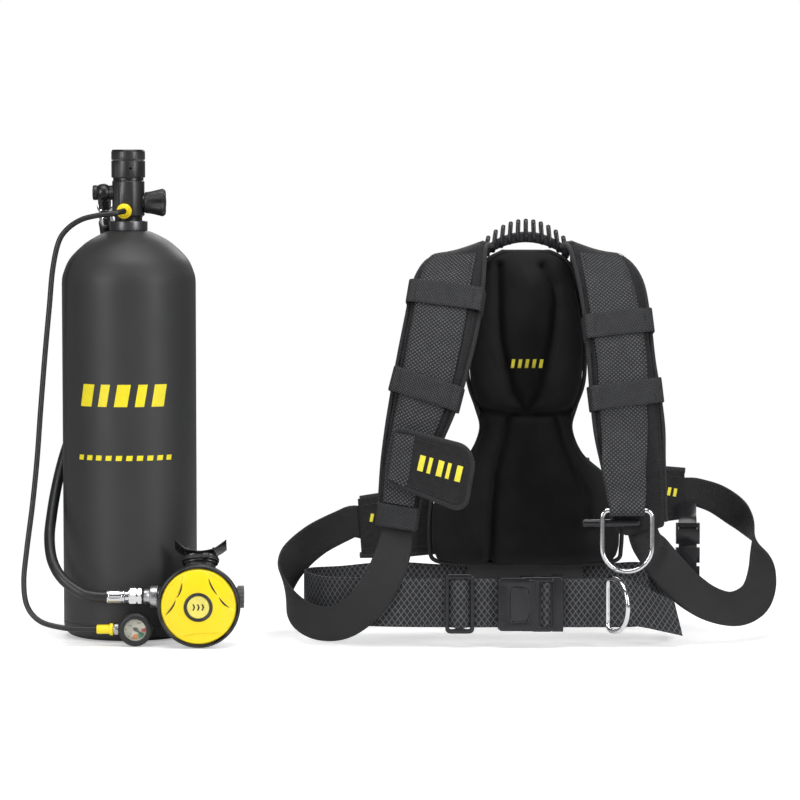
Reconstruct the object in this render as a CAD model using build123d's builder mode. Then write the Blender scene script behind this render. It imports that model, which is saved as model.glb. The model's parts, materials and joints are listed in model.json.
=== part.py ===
from build123d import *
import math
import os

# ---------------------------------------------------------------------------
# Portable air pack: a small aluminium air cylinder with its valve, first
# stage, two hoses, demand regulator and pressure gauge, and beside it the
# padded harness that carries it.  Millimetres, +Z up.  The origin is the
# middle of the cylinder's base.  The front of both halves faces -Y, and left
# and right are -X and +X.  LP is low pressure, HP is high pressure.
# ---------------------------------------------------------------------------

os.makedirs("parts", exist_ok=True)

# cylinder and neck
CYL_R = 70.0
CYL_STRAIGHT = 371.0  # height where the dome starts
NECK_Z = 424.5        # top face of the neck
NECK_BORE = 12.6      # radius
COLLAR_R = 19.9
COLLAR_TOP = 435.0
COLLAR_H = COLLAR_TOP - NECK_Z

# valve column
FOOT_R = 14.4
BODY_R = 16.9
BODY_Z0, BODY_Z1 = 441.0, 476.6
HEAD_R = 17.65
HEAD_Z0, HEAD_Z1 = 480.0, 497.8
CAP_Z0, CAP_Z1 = 498.7, 509.3
NIPPLE_R = 6.0
CAP_BORE = NIPPLE_R + 0.1
BURST_Z = 457.0       # burst disc port, at the back

# knob on the right
KNOB_Z = 454.4
KNOB_X0, KNOB_X1, KNOB_R = 21.4, 38.9, 14.8
STEM_R = 3.05
DRIVE_X = 30.0        # where the stem turns from round to square

# LP outlet on the left: its elbow points back and down
LP_X, LP_Z = -25.8, 464.4
LP_DIR = (0.0, math.sin(math.radians(45)), -math.cos(math.radians(45)))
LP_HOSE_R = 5.65

# HP outlet on the front
HP_X, HP_Z = -3.0, 445.2
HP_HOSE_R = 2.8
HP_SLEEVE_BORE = HP_HOSE_R + 0.08

# demand regulator (second stage)
STAGE_X, STAGE_Z = 78.1, 43.0
STAGE_R = 42.6
INLET_Y, INLET_Z = -85.0, 50.0   # inlet axis, parallel to X
MOUTH_LEAN = math.radians(28)    # mouth tube, from straight up towards the back

# gauge
GAUGE_X, GAUGE_Y, GAUGE_Z = 12.2, -92.0, 17.25
GAUGE_R = 17.05

# harness
HARNESS_X = 417.0     # middle plane of the harness
PLATE_Y0, PLATE_Y1 = 36.0, 40.0
PAD_Y0, PAD_Y1 = 7.0, 32.6
HANDLE_Y, HANDLE_Z = 39.0, 400.0   # axis of the carrying handle's pins
PAD_T = 12.0          # shoulder pad thickness
PAD_YAW = 10.0        # degrees each shoulder pad's face turns outward
RING_X, RING_Y, RING_Z = 516.5, -99.0, 140.6   # middle of the shoulder ring's bar
RING_WIRE_R = 2.5
BELT_Y = -97.0        # middle of the waist webbing at the front
BELT_T = 2.4
BELT_Z0, BELT_W = 20.0, 50.0
BELT_MID_Z = BELT_Z0 + BELT_W / 2
BELT_SLOT = BELT_W + 0.8
BUCKLE_Y = BELT_Y - 6.0            # middle of the buckle's thickness

# tank bands
BAND_R = CYL_R + 0.5  # bore
BAND_T = 2.5
BAND_W = 50.0
BAND_Z = (300.0, 125.0)            # lower edges
BAND_MID_Z = [z + BAND_W / 2 for z in BAND_Z]
BAND_CY = PLATE_Y1 + 8.6 + CYL_R   # middle of the bands
CAM_Y = BAND_CY + BAND_R + BAND_T  # back of the bands


# ===========================================================================
# Helpers
# ===========================================================================
def save(part, name):
    part.label = name
    export_step(part, f"parts/{name}.step")


def facing_front(x, y, z):
    """Plane facing -Y, its x to the right and its y up."""
    return Plane(origin=(x, y, z), x_dir=(1, 0, 0), z_dir=(0, -1, 0))


def facing_right(x, y, z):
    """Plane facing +X, its x to the back and its y up."""
    return Plane(origin=(x, y, z), x_dir=(0, 1, 0), z_dir=(1, 0, 0))


def level(x, y, z):
    """Plane facing +Z."""
    return Plane(origin=(x, y, z), x_dir=(1, 0, 0), z_dir=(0, 0, 1))


# These builders stand alone: callers save the part or add() it.
def rod(plane, radius, length):
    """Cylinder centred on the plane's origin, along its normal."""
    with BuildPart(mode=Mode.PRIVATE) as body:
        with BuildSketch(plane):
            Circle(radius)
        extrude(amount=length)
    return body.part


def hex_bar(plane, radius, length, rotation=0):
    with BuildPart(mode=Mode.PRIVATE) as body:
        with BuildSketch(plane):
            RegularPolygon(radius, 6, rotation=rotation)
        extrude(amount=length)
    return body.part


def prism(plane, outline, length):
    """Straight-sided outline extruded along the plane's normal."""
    with BuildPart(mode=Mode.PRIVATE) as body:
        with BuildSketch(plane):
            with BuildLine():
                Polyline(*outline, close=True)
            make_face()
        extrude(amount=length)
    return body.part


def turned(outline, plane=Plane.XZ, axis=Axis.Z):
    """Straight-sided outline revolved about the axis."""
    with BuildPart(mode=Mode.PRIVATE) as body:
        with BuildSketch(plane):
            with BuildLine():
                Polyline(*outline, close=True)
            make_face()
        revolve(axis=axis)
    return body.part


def coil_spring(pitch, height, radius, wire_r, center, direction=(0, 0, 1)):
    with BuildPart(mode=Mode.PRIVATE) as body:
        with BuildLine():
            coil = Helix(
                pitch=pitch, height=height, radius=radius, center=center, direction=direction
            )
        with BuildSketch(Plane(origin=coil @ 0, z_dir=coil % 0)):
            Circle(wire_r)
        sweep(path=coil.edge(), is_frenet=True)
    return body.part


def ruled_loft(sections, thickness, corner=0.0):
    """Loft through (plane, centre on the plane, width) rectangles."""
    with BuildPart(mode=Mode.PRIVATE) as body:
        for plane, centre, width in sections:
            with BuildSketch(plane):
                with Locations(centre):
                    if corner:
                        RectangleRounded(width, thickness, corner)
                    else:
                        Rectangle(width, thickness)
        loft(ruled=True)
    return body.part


def station(origin, forward, across):
    """Plane at origin, facing forward, with its x direction along across."""
    normal = Vector(*forward).normalized()
    x_dir = Vector(*across)
    x_dir = (x_dir - normal * x_dir.dot(normal)).normalized()
    return Plane(origin=origin, x_dir=x_dir, z_dir=normal)


def tangents(points):
    """Direction at each point, from the point before to the point after."""
    last = len(points) - 1
    return [
        tuple(b - a for a, b in zip(points[max(0, i - 1)], points[min(last, i + 1)]))
        for i in range(len(points))
    ]


def smooth(points, steps):
    """Catmull-Rom points through a row of points."""
    last = len(points) - 1
    out = []
    for k in range(last):
        p0, p1, p2, p3 = (points[max(0, min(last, j))] for j in (k - 1, k, k + 1, k + 2))
        for m in range(steps):
            t = m / steps
            out.append(tuple(
                0.5 * (2 * b + (c - a) * t + (2 * a - 5 * b + 4 * c - d) * t * t
                       + (3 * b - a - 3 * c + d) * t ** 3)
                for a, b, c, d in zip(p0, p1, p2, p3)
            ))
    return out + [points[-1]]


def ribbon(stations, thickness):
    """Strap through (centre, direction across the strap, width) stations."""
    directions = tangents([s[0] for s in stations])
    return ruled_loft(
        [
            (station(centre, forward, across), (0, 0), width)
            for (centre, across, width), forward in zip(stations, directions)
        ],
        thickness,
    )


def u_ring(middle, along, outward, half, corner, depth, wire_r):
    """Bent wire ring: straight bar along one direction, bow reaching outward."""
    def at(u, v):
        return tuple(middle[k] + along[k] * u + outward[k] * v for k in range(3))

    inset = corner * (1 - math.sqrt(0.5))   # middle of a corner arc
    arms = depth - half
    with BuildPart(mode=Mode.PRIVATE) as ring:
        with BuildLine() as wire:
            Line(at(-half + corner, 0), at(half - corner, 0))
            ThreePointArc(at(half - corner, 0), at(half - inset, inset), at(half, corner))
            Line(at(half, corner), at(half, arms))
            ThreePointArc(at(half, arms), at(0, depth), at(-half, arms))
            Line(at(-half, arms), at(-half, corner))
            ThreePointArc(at(-half, corner), at(-half + inset, inset), at(-half + corner, 0))
        for edge in wire.edges():
            with BuildSketch(Plane(origin=edge @ 0, z_dir=edge % 0)):
                Circle(wire_r)
            sweep(path=edge)
    return ring.part


# Working planes on the axes that several pieces share
knob_line = facing_right(0, 0, KNOB_Z)
burst_line = facing_front(0, 0, BURST_Z)
lp_port = facing_right(0, 0, LP_Z)
lp_axis = Plane(origin=(LP_X, 0, LP_Z), x_dir=(1, 0, 0), z_dir=LP_DIR)
hp_port = facing_front(HP_X, 0, HP_Z)
inlet_line = facing_right(0, INLET_Y, INLET_Z)
inlet_mid = level(0, INLET_Y, INLET_Z)
inlet_axis = Axis((0, INLET_Y, INLET_Z), (1, 0, 0))
gauge_hose_line = facing_right(0, GAUGE_Y, GAUGE_Z)
gauge_hose_mid = level(0, GAUGE_Y, GAUGE_Z)
gauge_hose_axis = Axis((0, GAUGE_Y, GAUGE_Z), (1, 0, 0))
gauge_front = facing_front(GAUGE_X, GAUGE_Y, GAUGE_Z)
gauge_mid = level(GAUGE_X, GAUGE_Y, GAUGE_Z)
gauge_axis = Axis((GAUGE_X, GAUGE_Y, GAUGE_Z), (0, 1, 0))
stage_front = facing_front(STAGE_X, 0, STAGE_Z)
stage_mid = level(STAGE_X, 0, STAGE_Z)
stage_axis = Axis((STAGE_X, 0, STAGE_Z), (0, 1, 0))
exhaust_line = facing_front(STAGE_X + 4, 0, STAGE_Z - 13)
mouth_plane = Plane(
    origin=(STAGE_X, -84.0, 68.0), x_dir=(1, 0, 0),
    z_dir=(0.0, math.sin(MOUTH_LEAN), math.cos(MOUTH_LEAN)),
)
handle_line = facing_right(HARNESS_X, HANDLE_Y, HANDLE_Z)

# ===========================================================================
# Cylinder and valve.  Outlines turned about Z are (radius, z).
# ===========================================================================
with BuildPart() as cylinder:
    with BuildSketch(Plane.XZ):
        with BuildLine():
            # outside, from the base up to the neck
            Polyline((0, 0), (57, 0), (64.5, 2.2))
            ThreePointArc((64.5, 2.2), (68.6, 6.2), (CYL_R, 13))
            Line((CYL_R, 13), (CYL_R, CYL_STRAIGHT))
            Spline(
                (CYL_R, CYL_STRAIGHT), (68.2, 381.0), (61.0, 396.2), (45.0, 411.8), (29.0, 421.2),
                (20.5, NECK_Z),
                tangents=[(0, 1), (-1.0, 0.32)], tangent_scalars=[0.6, 0.6],
            )
            # inside, from the neck down to the floor
            Polyline((20.5, NECK_Z), (NECK_BORE, NECK_Z), (NECK_BORE, 401))
            Spline(
                (NECK_BORE, 401), (30, 397.5), (48, 384), (57.5, 367), (61, 349),
                tangents=[(1, 0), (0, -1)],
            )
            Line((61, 349), (61, 30))
            ThreePointArc((61, 30), (56, 17.5), (44, 12))
            Polyline((44, 12), (0, 12), (0, 0))
        make_face()
    revolve(axis=Axis.Z)
    # turned line above the foot radius
    with BuildSketch(Plane.XZ):
        with Locations((CYL_R, 16.4)):
            Rectangle(1.0, 1.0)
    revolve(axis=Axis.Z, mode=Mode.SUBTRACT)
save(cylinder.part, "cylinder")

UPWARD = (Align.CENTER, Align.CENTER, Align.MIN)
with BuildPart() as neck_collar:
    with Locations((0, 0, NECK_Z)):
        Cylinder(COLLAR_R, COLLAR_H, align=UPWARD)
    chamfer(neck_collar.edges().filter_by(GeomType.CIRCLE), 0.7)
    with Locations((0, 0, NECK_Z)):
        Cylinder(NECK_BORE, COLLAR_H, align=UPWARD, mode=Mode.SUBTRACT)
    # two flats on the rim
    with PolarLocations(COLLAR_R + 1.0, 2, start_angle=40):
        with Locations((0, 0, (NECK_Z + COLLAR_TOP) / 2)):
            Box(3.4, 14, 12, mode=Mode.SUBTRACT)
save(neck_collar.part, "neck_collar")

with BuildPart() as valve_body:
    add(turned([
        (2.0, 402), (12.45, 402), (12.45, 416.5), (10.7, 416.5), (10.7, 419.2), (12.45, 419.2),
        (12.45, COLLAR_TOP), (FOOT_R, COLLAR_TOP), (FOOT_R, BODY_Z0 - 2.2), (BODY_R, BODY_Z0),
        (BODY_R, BODY_Z1 - 0.6), (BODY_R - 0.6, BODY_Z1), (15.9, BODY_Z1 + 0.4), (15.9, HEAD_Z0),
        (14.0, HEAD_Z0), (14.0, 484.4), (10.5, 484.4), (10.5, 472.5), (4.2, 472.5), (4.2, 463.0),
        (2.0, 463.0),
    ]))
    # boss and port for the LP outlet
    with BuildSketch(lp_port.offset(-19.2)):
        Circle(7.8)
    extrude(until=Until.NEXT)
    add(rod(lp_port.offset(-19.2), 4.1, 11), mode=Mode.SUBTRACT)
    # seat and bore for the knob's stem
    with BuildSketch(knob_line.offset(18.8)):
        Circle(8.6)
    extrude(until=Until.NEXT, dir=(-1, 0, 0))
    add(rod(knob_line.offset(18.8), 3.1, -15.5), mode=Mode.SUBTRACT)
    # HP port at the front, burst disc port at the back
    add(rod(hp_port.offset(20), 4.1, -12), mode=Mode.SUBTRACT)
    add(rod(burst_line.offset(-20), 4.6, 10), mode=Mode.SUBTRACT)
    # spot face round the HP port
    add(rod(hp_port.offset(20), 8.4, -3.9), mode=Mode.SUBTRACT)
save(valve_body.part, "valve_body")

with BuildPart() as valve_stem:
    add(rod(knob_line.offset(4.5), STEM_R, DRIVE_X - 4.5))
    with BuildSketch(knob_line.offset(DRIVE_X)):
        Rectangle(4.2, 4.2)
    extrude(amount=7.4)
save(valve_stem.part, "valve_stem")

with BuildPart() as valve_knob:
    with BuildSketch(level(0, 0, KNOB_Z)):   # (x, radius)
        with BuildLine():
            Polyline((19.3, 0), (19.3, 9.4), (KNOB_X0, 11.4))
            Spline(
                (KNOB_X0, 11.4), (27, 12.7), (33.4, KNOB_R), tangents=[(1, 0.1), (1, 0.35)]
            )
            Polyline(
                (33.4, KNOB_R), (36.8, 13.9), (KNOB_X1, 11.2), (KNOB_X1, 6.0), (37.4, 4.4),
                (37.4, 0), (19.3, 0),
            )
        make_face()
    revolve(axis=Axis((0, 0, KNOB_Z), (1, 0, 0)))
    # finger scallops
    with BuildSketch(knob_line.offset(KNOB_X0 + 1.2)):
        with PolarLocations(17.6, 5, start_angle=18):
            Circle(6.4)
    extrude(amount=22, mode=Mode.SUBTRACT)
    # round and square sockets for the stem
    add(rod(knob_line.offset(19.3), STEM_R + 0.05, DRIVE_X - 19.3), mode=Mode.SUBTRACT)
    with BuildSketch(knob_line.offset(DRIVE_X)):
        Rectangle(4.3, 4.3)
    extrude(amount=8, mode=Mode.SUBTRACT)
save(valve_knob.part, "valve_knob")

with BuildPart() as regulator_head:
    add(turned([
        (14.05, HEAD_Z0), (HEAD_R - 0.6, HEAD_Z0), (HEAD_R, HEAD_Z0 + 0.6),
        (HEAD_R, HEAD_Z1 - 0.5), (HEAD_R - 0.5, HEAD_Z1), (NIPPLE_R, HEAD_Z1), (NIPPLE_R, 505.4),
        (5.4, 506.2), (3.4, 506.2), (1.4, 503.4), (1.4, 494.6), (12.5, 494.6), (12.5, 484.5),
        (14.05, 484.5),
    ]))
    # ambient pressure holes
    for angle in (-78, 102):
        dx, dy = math.cos(math.radians(angle)), math.sin(math.radians(angle))
        hole_plane = Plane(origin=(11 * dx, 11 * dy, 489.6), x_dir=(0, 0, 1), z_dir=(dx, dy, 0))
        add(rod(hole_plane, 1.35, 9), mode=Mode.SUBTRACT)
save(regulator_head.part, "regulator_head")

save(turned([
    (0, 466.5), (3.6, 466.5), (4.1, 467.2), (4.1, 488.2), (12.4, 488.2), (12.4, 491.6), (0, 491.6),
]), "piston")

save(
    coil_spring(pitch=2.9, height=12.9, radius=7.4, wire_r=0.8, center=(0, 0, 474.0)),
    "piston_spring",
)

with BuildPart() as cap_washer:
    with Locations((0, 0, HEAD_Z1 + 0.05)):
        Cylinder(16.6, 0.8, align=UPWARD)
        Cylinder(8.0, 0.8, align=UPWARD, mode=Mode.SUBTRACT)
save(cap_washer.part, "cap_washer")

save(turned([
    (CAP_BORE, CAP_Z0), (HEAD_R, CAP_Z0), (HEAD_R, CAP_Z1 - 2.6), (HEAD_R - 0.5, CAP_Z1 - 1.4),
    (HEAD_R - 1.2, CAP_Z1), (14.6, CAP_Z1), (14.2, CAP_Z1 - 0.4), (0, CAP_Z1 - 0.4), (0, 506.8),
    (CAP_BORE, 506.8),
]), "fill_cap")

with BuildPart() as burst_plug:
    add(rod(burst_line.offset(-10.2), 4.5, -7.4))
    add(hex_bar(burst_line.offset(-17.6), 6.0, -4.4))
    add(rod(burst_line.offset(-22), 1.4, 5), mode=Mode.SUBTRACT)
save(burst_plug.part, "burst_plug")

# ===========================================================================
# LP hose: banjo bolt, ball elbow, hose, crimped ends, boot and swivel nut
# ===========================================================================
with BuildPart() as lp_banjo_bolt:
    add(rod(lp_port.offset(-9), 4.0, -23.6))
    add(rod(lp_port.offset(-32.5), 7.9, -4.6))
    fillet(lp_banjo_bolt.faces().sort_by(Axis.X)[0].edges(), 1.3)
    add(hex_bar(lp_port.offset(-37.1), 3.4, 2.4), mode=Mode.SUBTRACT)
save(lp_banjo_bolt.part, "lp_banjo_bolt")

with BuildPart() as lp_elbow:
    with Locations((LP_X, 0, LP_Z)):
        Sphere(9.6)
    add(rod(lp_axis, 7.2, 16.5))
    with BuildSketch(lp_axis.offset(16.5)):
        Circle(7.2)
        Circle(5.0, mode=Mode.SUBTRACT)
    extrude(amount=2.3)
    # flat faces towards the valve and the bolt head, and the bolt's bore
    split(bisect_by=Plane.YZ.offset(-19.3), keep=Keep.BOTTOM)
    split(bisect_by=Plane.YZ.offset(-32.4), keep=Keep.TOP)
    add(rod(lp_port.offset(-15), 4.08, -20), mode=Mode.SUBTRACT)
save(lp_elbow.part, "lp_elbow")

# x, y, z down the hose, from the elbow to the regulator inlet
LP_HOSE_POINTS = [
    (-25.8, 25.5, 438.9), (-25.9, 40.0, 424.6), (-27.2, 58.0, 407.5), (-30.0, 70.6, 382.0),
    (-34.0, 72.6, 350.0), (-40.0, 69.8, 310.0), (-48.0, 64.4, 270.0), (-57.6, 56.0, 235.0),
    (-66.6, 44.5, 205.0), (-74.0, 29.0, 178.0), (-78.6, 8.0, 152.0), (-81.0, -15.0, 127.0),
    (-81.2, -38.0, 105.0), (-76.0, -60.0, 84.0), (-64.0, -75.0, 67.0), (-45.0, -83.0, 54.2),
    (-32.0, -84.8, 50.6), (-21.0, INLET_Y, INLET_Z),
]
with BuildPart() as lp_hose:
    with BuildLine():
        lp_curve = Spline(*smooth(LP_HOSE_POINTS, 3))
    with BuildSketch(Plane(origin=lp_curve @ 0, z_dir=lp_curve % 0)):
        Circle(LP_HOSE_R)
    sweep(path=lp_curve.edge())
    # straight end inside the inlet crimp
    add(rod(inlet_line.offset(-21.0), LP_HOSE_R, 20.0))
save(lp_hose.part, "lp_hose")

with BuildPart() as lp_hose_crimps:
    # crimp at the elbow
    add(rod(lp_axis.offset(16.6), 4.9, 2.4))
    add(hex_bar(lp_axis.offset(19.0), 7.6, 6.4))
    add(rod(lp_axis.offset(25.4), 6.6, 10.6))
    # crimp at the regulator end, gripping the hose
    with BuildSketch(inlet_line.offset(-17.4)):
        Circle(6.75)
        Circle(LP_HOSE_R + 0.05, mode=Mode.SUBTRACT)
    extrude(amount=16.5)
    add(rod(inlet_line.offset(-0.9), 6.75, 2.9))
    add(rod(inlet_line.offset(2.0), 6.2, 2.6))
    add(rod(inlet_line.offset(4.6), 4.6, 13.0))
save(lp_hose_crimps.part, "lp_hose_crimps")

with BuildPart() as lp_hose_boot:
    for distance, radius in ((36.05, 8.0), (46, 7.6), (52.5, 6.9)):
        with BuildSketch(lp_axis.offset(distance)):
            Circle(radius)
    loft()
    add(lp_hose.part, mode=Mode.SUBTRACT)
save(lp_hose_boot.part, "lp_hose_boot")

with BuildPart() as lp_swivel_nut:
    add(hex_bar(inlet_line.offset(4.7), 9.6, 14.0, rotation=30))
    # turned envelope, (x, radius), bevels the hexagon's corners
    add(
        turned(
            [(4.0, 8.6), (5.3, 9.9), (18.1, 9.9), (19.4, 8.6), (19.4, 0), (4.0, 0)],
            inlet_mid, inlet_axis,
        ),
        mode=Mode.INTERSECT,
    )
    add(rod(inlet_line.offset(4), 4.7, 16), mode=Mode.SUBTRACT)
save(lp_swivel_nut.part, "lp_swivel_nut")

# ===========================================================================
# HP hose and gauge
# ===========================================================================
# x, y, z down the hose, from the valve to the gauge
GAUGE_LINE_POINTS = [
    (HP_X, -21.0, HP_Z), (HP_X, -28.0, HP_Z), (HP_X - 0.3, -31.0, HP_Z),
    (HP_X - 3.4, -38.0, 444.6), (-12.5, -42.5, 443.0), (-30.0, -44.0, 441.0),
    (-46.0, -44.0, 436.6), (-60.0, -45.0, 427.0), (-69.0, -46.0, 413.0), (-75.0, -47.0, 385.0),
    (-78.6, -48.0, 347.0), (-83.0, -50.0, 300.0), (-87.8, -54.0, 240.0), (-91.4, -57.5, 190.0),
    (-96.0, -62.0, 143.0), (-101.6, -68.0, 97.0), (-104.2, -75.0, 64.0), (-100.0, -83.0, 40.0),
    (-86.0, -89.0, 25.0), (-62.0, -92.0, 18.6), (-42.0, -92.0, 17.4), (-30.0, GAUGE_Y, GAUGE_Z),
    (-21.0, GAUGE_Y, GAUGE_Z), (-12.0, GAUGE_Y, GAUGE_Z),
]
gauge_centre_line = smooth(GAUGE_LINE_POINTS, 4)
with BuildPart() as gauge_line:
    # the section's x direction is carried along so the loft doesn't twist
    side = Vector(1, 0, 0)
    for point, tangent in zip(gauge_centre_line, tangents(gauge_centre_line)):
        section_plane = station(point, tangent, side)
        side = section_plane.x_dir
        with BuildSketch(section_plane):
            Circle(HP_HOSE_R)
    loft(ruled=True)
save(gauge_line.part, "gauge_line")

with BuildPart() as gauge_line_nuts:
    # nut and strain relief at the valve
    add(rod(hp_port.offset(8.2), 4.05, 8.0))
    add(rod(hp_port.offset(16.2), 7.9, 6.4))
    chamfer(gauge_line_nuts.faces().sort_by(Axis.Y)[0].edges(), 1.2)
    add(rod(hp_port.offset(22.6), 5.4, 4.6))
    fillet(gauge_line_nuts.faces().sort_by(Axis.Y)[0].edges(), 1.4)
    # sleeve at the gauge, (x, radius)
    add(turned(
        [
            (-27.8, 0), (-27.8, 4.0), (-27.0, 4.75), (-14.2, 4.75), (-14.2, 6.15),
            (-10.9, 6.15), (-10.9, 0),
        ],
        gauge_hose_mid, gauge_hose_axis,
    ))
    # bores for the hose
    add(rod(hp_port.offset(20.9), HP_SLEEVE_BORE, 8), mode=Mode.SUBTRACT)
    add(rod(gauge_hose_line.offset(-28), HP_SLEEVE_BORE, 16.1), mode=Mode.SUBTRACT)
save(gauge_line_nuts.part, "gauge_line_nuts")

with BuildPart() as gauge_nut:
    add(rod(gauge_hose_line.offset(-10.8), 4.6, 1.2))
    add(hex_bar(gauge_hose_line.offset(-9.6), 6.0, 4.2))
save(gauge_nut.part, "gauge_nut")

# Gauge outlines are (radius, y from the gauge's middle); the dial faces -Y.
with BuildPart() as gauge_case:
    add(turned(
        [
            (0, 6.6), (12.8, 6.6), (14.0, 5.4), (14.0, -6.3), (12.5, -6.3), (12.5, 1.2),
            (1.2, 1.2), (1.2, 0.2), (0, 0.2),
        ],
        gauge_mid, gauge_axis,
    ))
    # stub towards the hose
    with BuildSketch(gauge_hose_line.offset(-5.3)):
        Circle(3.4)
    extrude(until=Until.NEXT)
save(gauge_case.part, "gauge_case")

with BuildPart() as gauge_boot:
    with BuildSketch(gauge_mid):
        with BuildLine():
            Polyline((11.3, -6.5), (11.3, -8.0), (12.4, -8.5), (14.6, -8.3))
            ThreePointArc((14.6, -8.3), (16.5, -7.0), (GAUGE_R, -4.6))
            Line((GAUGE_R, -4.6), (GAUGE_R, 4.2))
            ThreePointArc((GAUGE_R, 4.2), (16.3, 6.6), (14.2, 7.6))
            Polyline(
                (14.2, 7.6), (9.0, 7.6), (9.0, 6.7), (14.05, 6.7), (14.05, -6.5), (11.3, -6.5)
            )
        make_face()
    revolve(axis=gauge_axis)
    add(rod(gauge_hose_line.offset(-6), 3.6, 8), mode=Mode.SUBTRACT)
save(gauge_boot.part, "gauge_boot")

with BuildPart() as gauge_dial:
    with BuildSketch(gauge_front.offset(-1.1)):
        Circle(12.3)
        Circle(1.35, mode=Mode.SUBTRACT)
    extrude(amount=0.7)
save(gauge_dial.part, "gauge_dial")

with BuildPart() as gauge_needle:
    with BuildSketch(gauge_front.offset(1.6)):
        Circle(1.7)
        with BuildLine():
            Polyline(
                (-2.6, 2.2), (1.0, 0.55), (7.9, -6.4), (7.5, -6.8), (-0.4, -1.0), (-3.2, 1.5),
                close=True,
            )
        make_face()
    extrude(amount=0.5)
    # spindle
    add(rod(gauge_front.offset(-0.15), 0.9, 1.9))
save(gauge_needle.part, "gauge_needle")

save(turned(
    [(0, -4.4), (12.3, -4.4), (12.3, -5.6), (9.0, -6.0), (5.0, -6.3), (0, -6.4)],
    gauge_mid, gauge_axis,
), "gauge_lens")

# ===========================================================================
# Demand regulator.  Outlines turned about its main axis are (radius, y);
# those about the inlet axis are (x, radius).
# ===========================================================================
with BuildPart() as stage_housing:
    with BuildSketch(stage_mid):
        with BuildLine():
            Line((0, -69.5), (20, -69.5))
            ThreePointArc((20, -69.5), (31.5, -74.5), (36.0, -86.0))
            Polyline(
                (36.0, -86.0), (38.2, -98.5), (41.2, -100.5), (41.2, -104.0), (0, -104.0),
                (0, -69.5),
            )
        make_face()
    revolve(axis=stage_axis)
    # inlet boss at the left, adjuster boss at the right
    add(rod(inlet_line.offset(36.2), 10.4, 20))
    add(rod(inlet_line.offset(116.6), 9.6, -20))
    # mouth tube
    with BuildSketch(mouth_plane):
        Ellipse(16.0, 9.6)
    extrude(amount=27.0)
    # exhaust boss at the back
    add(rod(exhaust_line.offset(72), 14.5, -4.5))
    # the hollow inside
    with BuildSketch(stage_mid):
        with BuildLine():
            Line((0, -71.9), (19.5, -71.9))
            ThreePointArc((19.5, -71.9), (29.6, -76.2), (33.6, -86.4))
            Polyline((33.6, -86.4), (35.8, -101.5), (35.8, -104.5), (0, -104.5), (0, -71.9))
        make_face()
    revolve(axis=stage_axis, mode=Mode.SUBTRACT)
    # bores of the mouth tube, the inlet and the adjuster
    with BuildSketch(mouth_plane.offset(-6)):
        Ellipse(13.6, 7.3)
    extrude(amount=40.0, mode=Mode.SUBTRACT)
    add(rod(inlet_line.offset(30), 7.25, 30), mode=Mode.SUBTRACT)
    add(rod(inlet_line.offset(120), 3.6, -30), mode=Mode.SUBTRACT)
    # exhaust holes
    with BuildSketch(exhaust_line.offset(60)):
        with PolarLocations(7.0, 6):
            Circle(2.6)
    extrude(amount=13, mode=Mode.SUBTRACT)
save(stage_housing.part, "stage_housing")

with BuildPart() as inlet_barrel:
    add(turned(
        [
            (20.2, 3.4), (20.2, 7.6), (21.4, 8.4), (26.6, 8.4), (26.6, 10.4), (27.6, 11.5),
            (34.4, 11.5), (35.2, 10.7), (35.2, 7.15), (56.0, 7.15), (56.0, 5.6), (72.0, 5.6),
            (72.0, 3.4),
        ],
        inlet_mid, inlet_axis,
    ))
    # window for the lever's feet
    with BuildSketch(inlet_mid.offset(8)):
        with Locations((66.6, -5.6)):
            Rectangle(6.0, 6.4)
    extrude(amount=-16, mode=Mode.SUBTRACT)
save(inlet_barrel.part, "inlet_barrel")

with BuildPart() as poppet:
    add(rod(inlet_line.offset(50), 3.3, 3))
    add(rod(inlet_line.offset(53), 1.6, 11))
save(poppet.part, "poppet")

# feet on the barrel, arm bent forward to the diaphragm plate; (x, y)
save(prism(
    Plane.XY.offset(INLET_Z - 2.4),
    [
        (65.0, -90.6), (66.0, -92.4), (82.4, -100.1), (84.4, -100.4), (84.6, -99.4),
        (82.8, -98.9), (67.4, -91.7), (66.8, -89.6),
    ],
    4.8,
), "demand_lever")

save(turned(
    [
        (13.4, -101.6), (20, -101.6), (23, -103.0), (27, -101.6), (35.6, -101.6), (35.6, -104.2),
        (40.0, -104.2), (40.0, -105.0), (34.8, -105.0), (34.8, -102.4), (27.2, -102.4),
        (23, -103.8), (19.8, -102.4), (13.4, -102.4),
    ],
    stage_mid, stage_axis,
), "diaphragm")

save(rod(stage_front.offset(101.2), 13.0, 0.9), "diaphragm_plate")

with BuildPart() as cover_ring:
    with BuildSketch(stage_mid):
        with BuildLine():
            Polyline((41.3, -100.8), (STAGE_R, -101.6), (STAGE_R, -109.4))
            ThreePointArc((STAGE_R, -109.4), (41.9, -111.3), (40.2, -112.0))
            Polyline(
                (40.2, -112.0), (39.0, -111.2), (39.0, -105.1), (41.3, -105.1), (41.3, -100.8)
            )
        make_face()
    revolve(axis=stage_axis)
save(cover_ring.part, "cover_ring")

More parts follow.
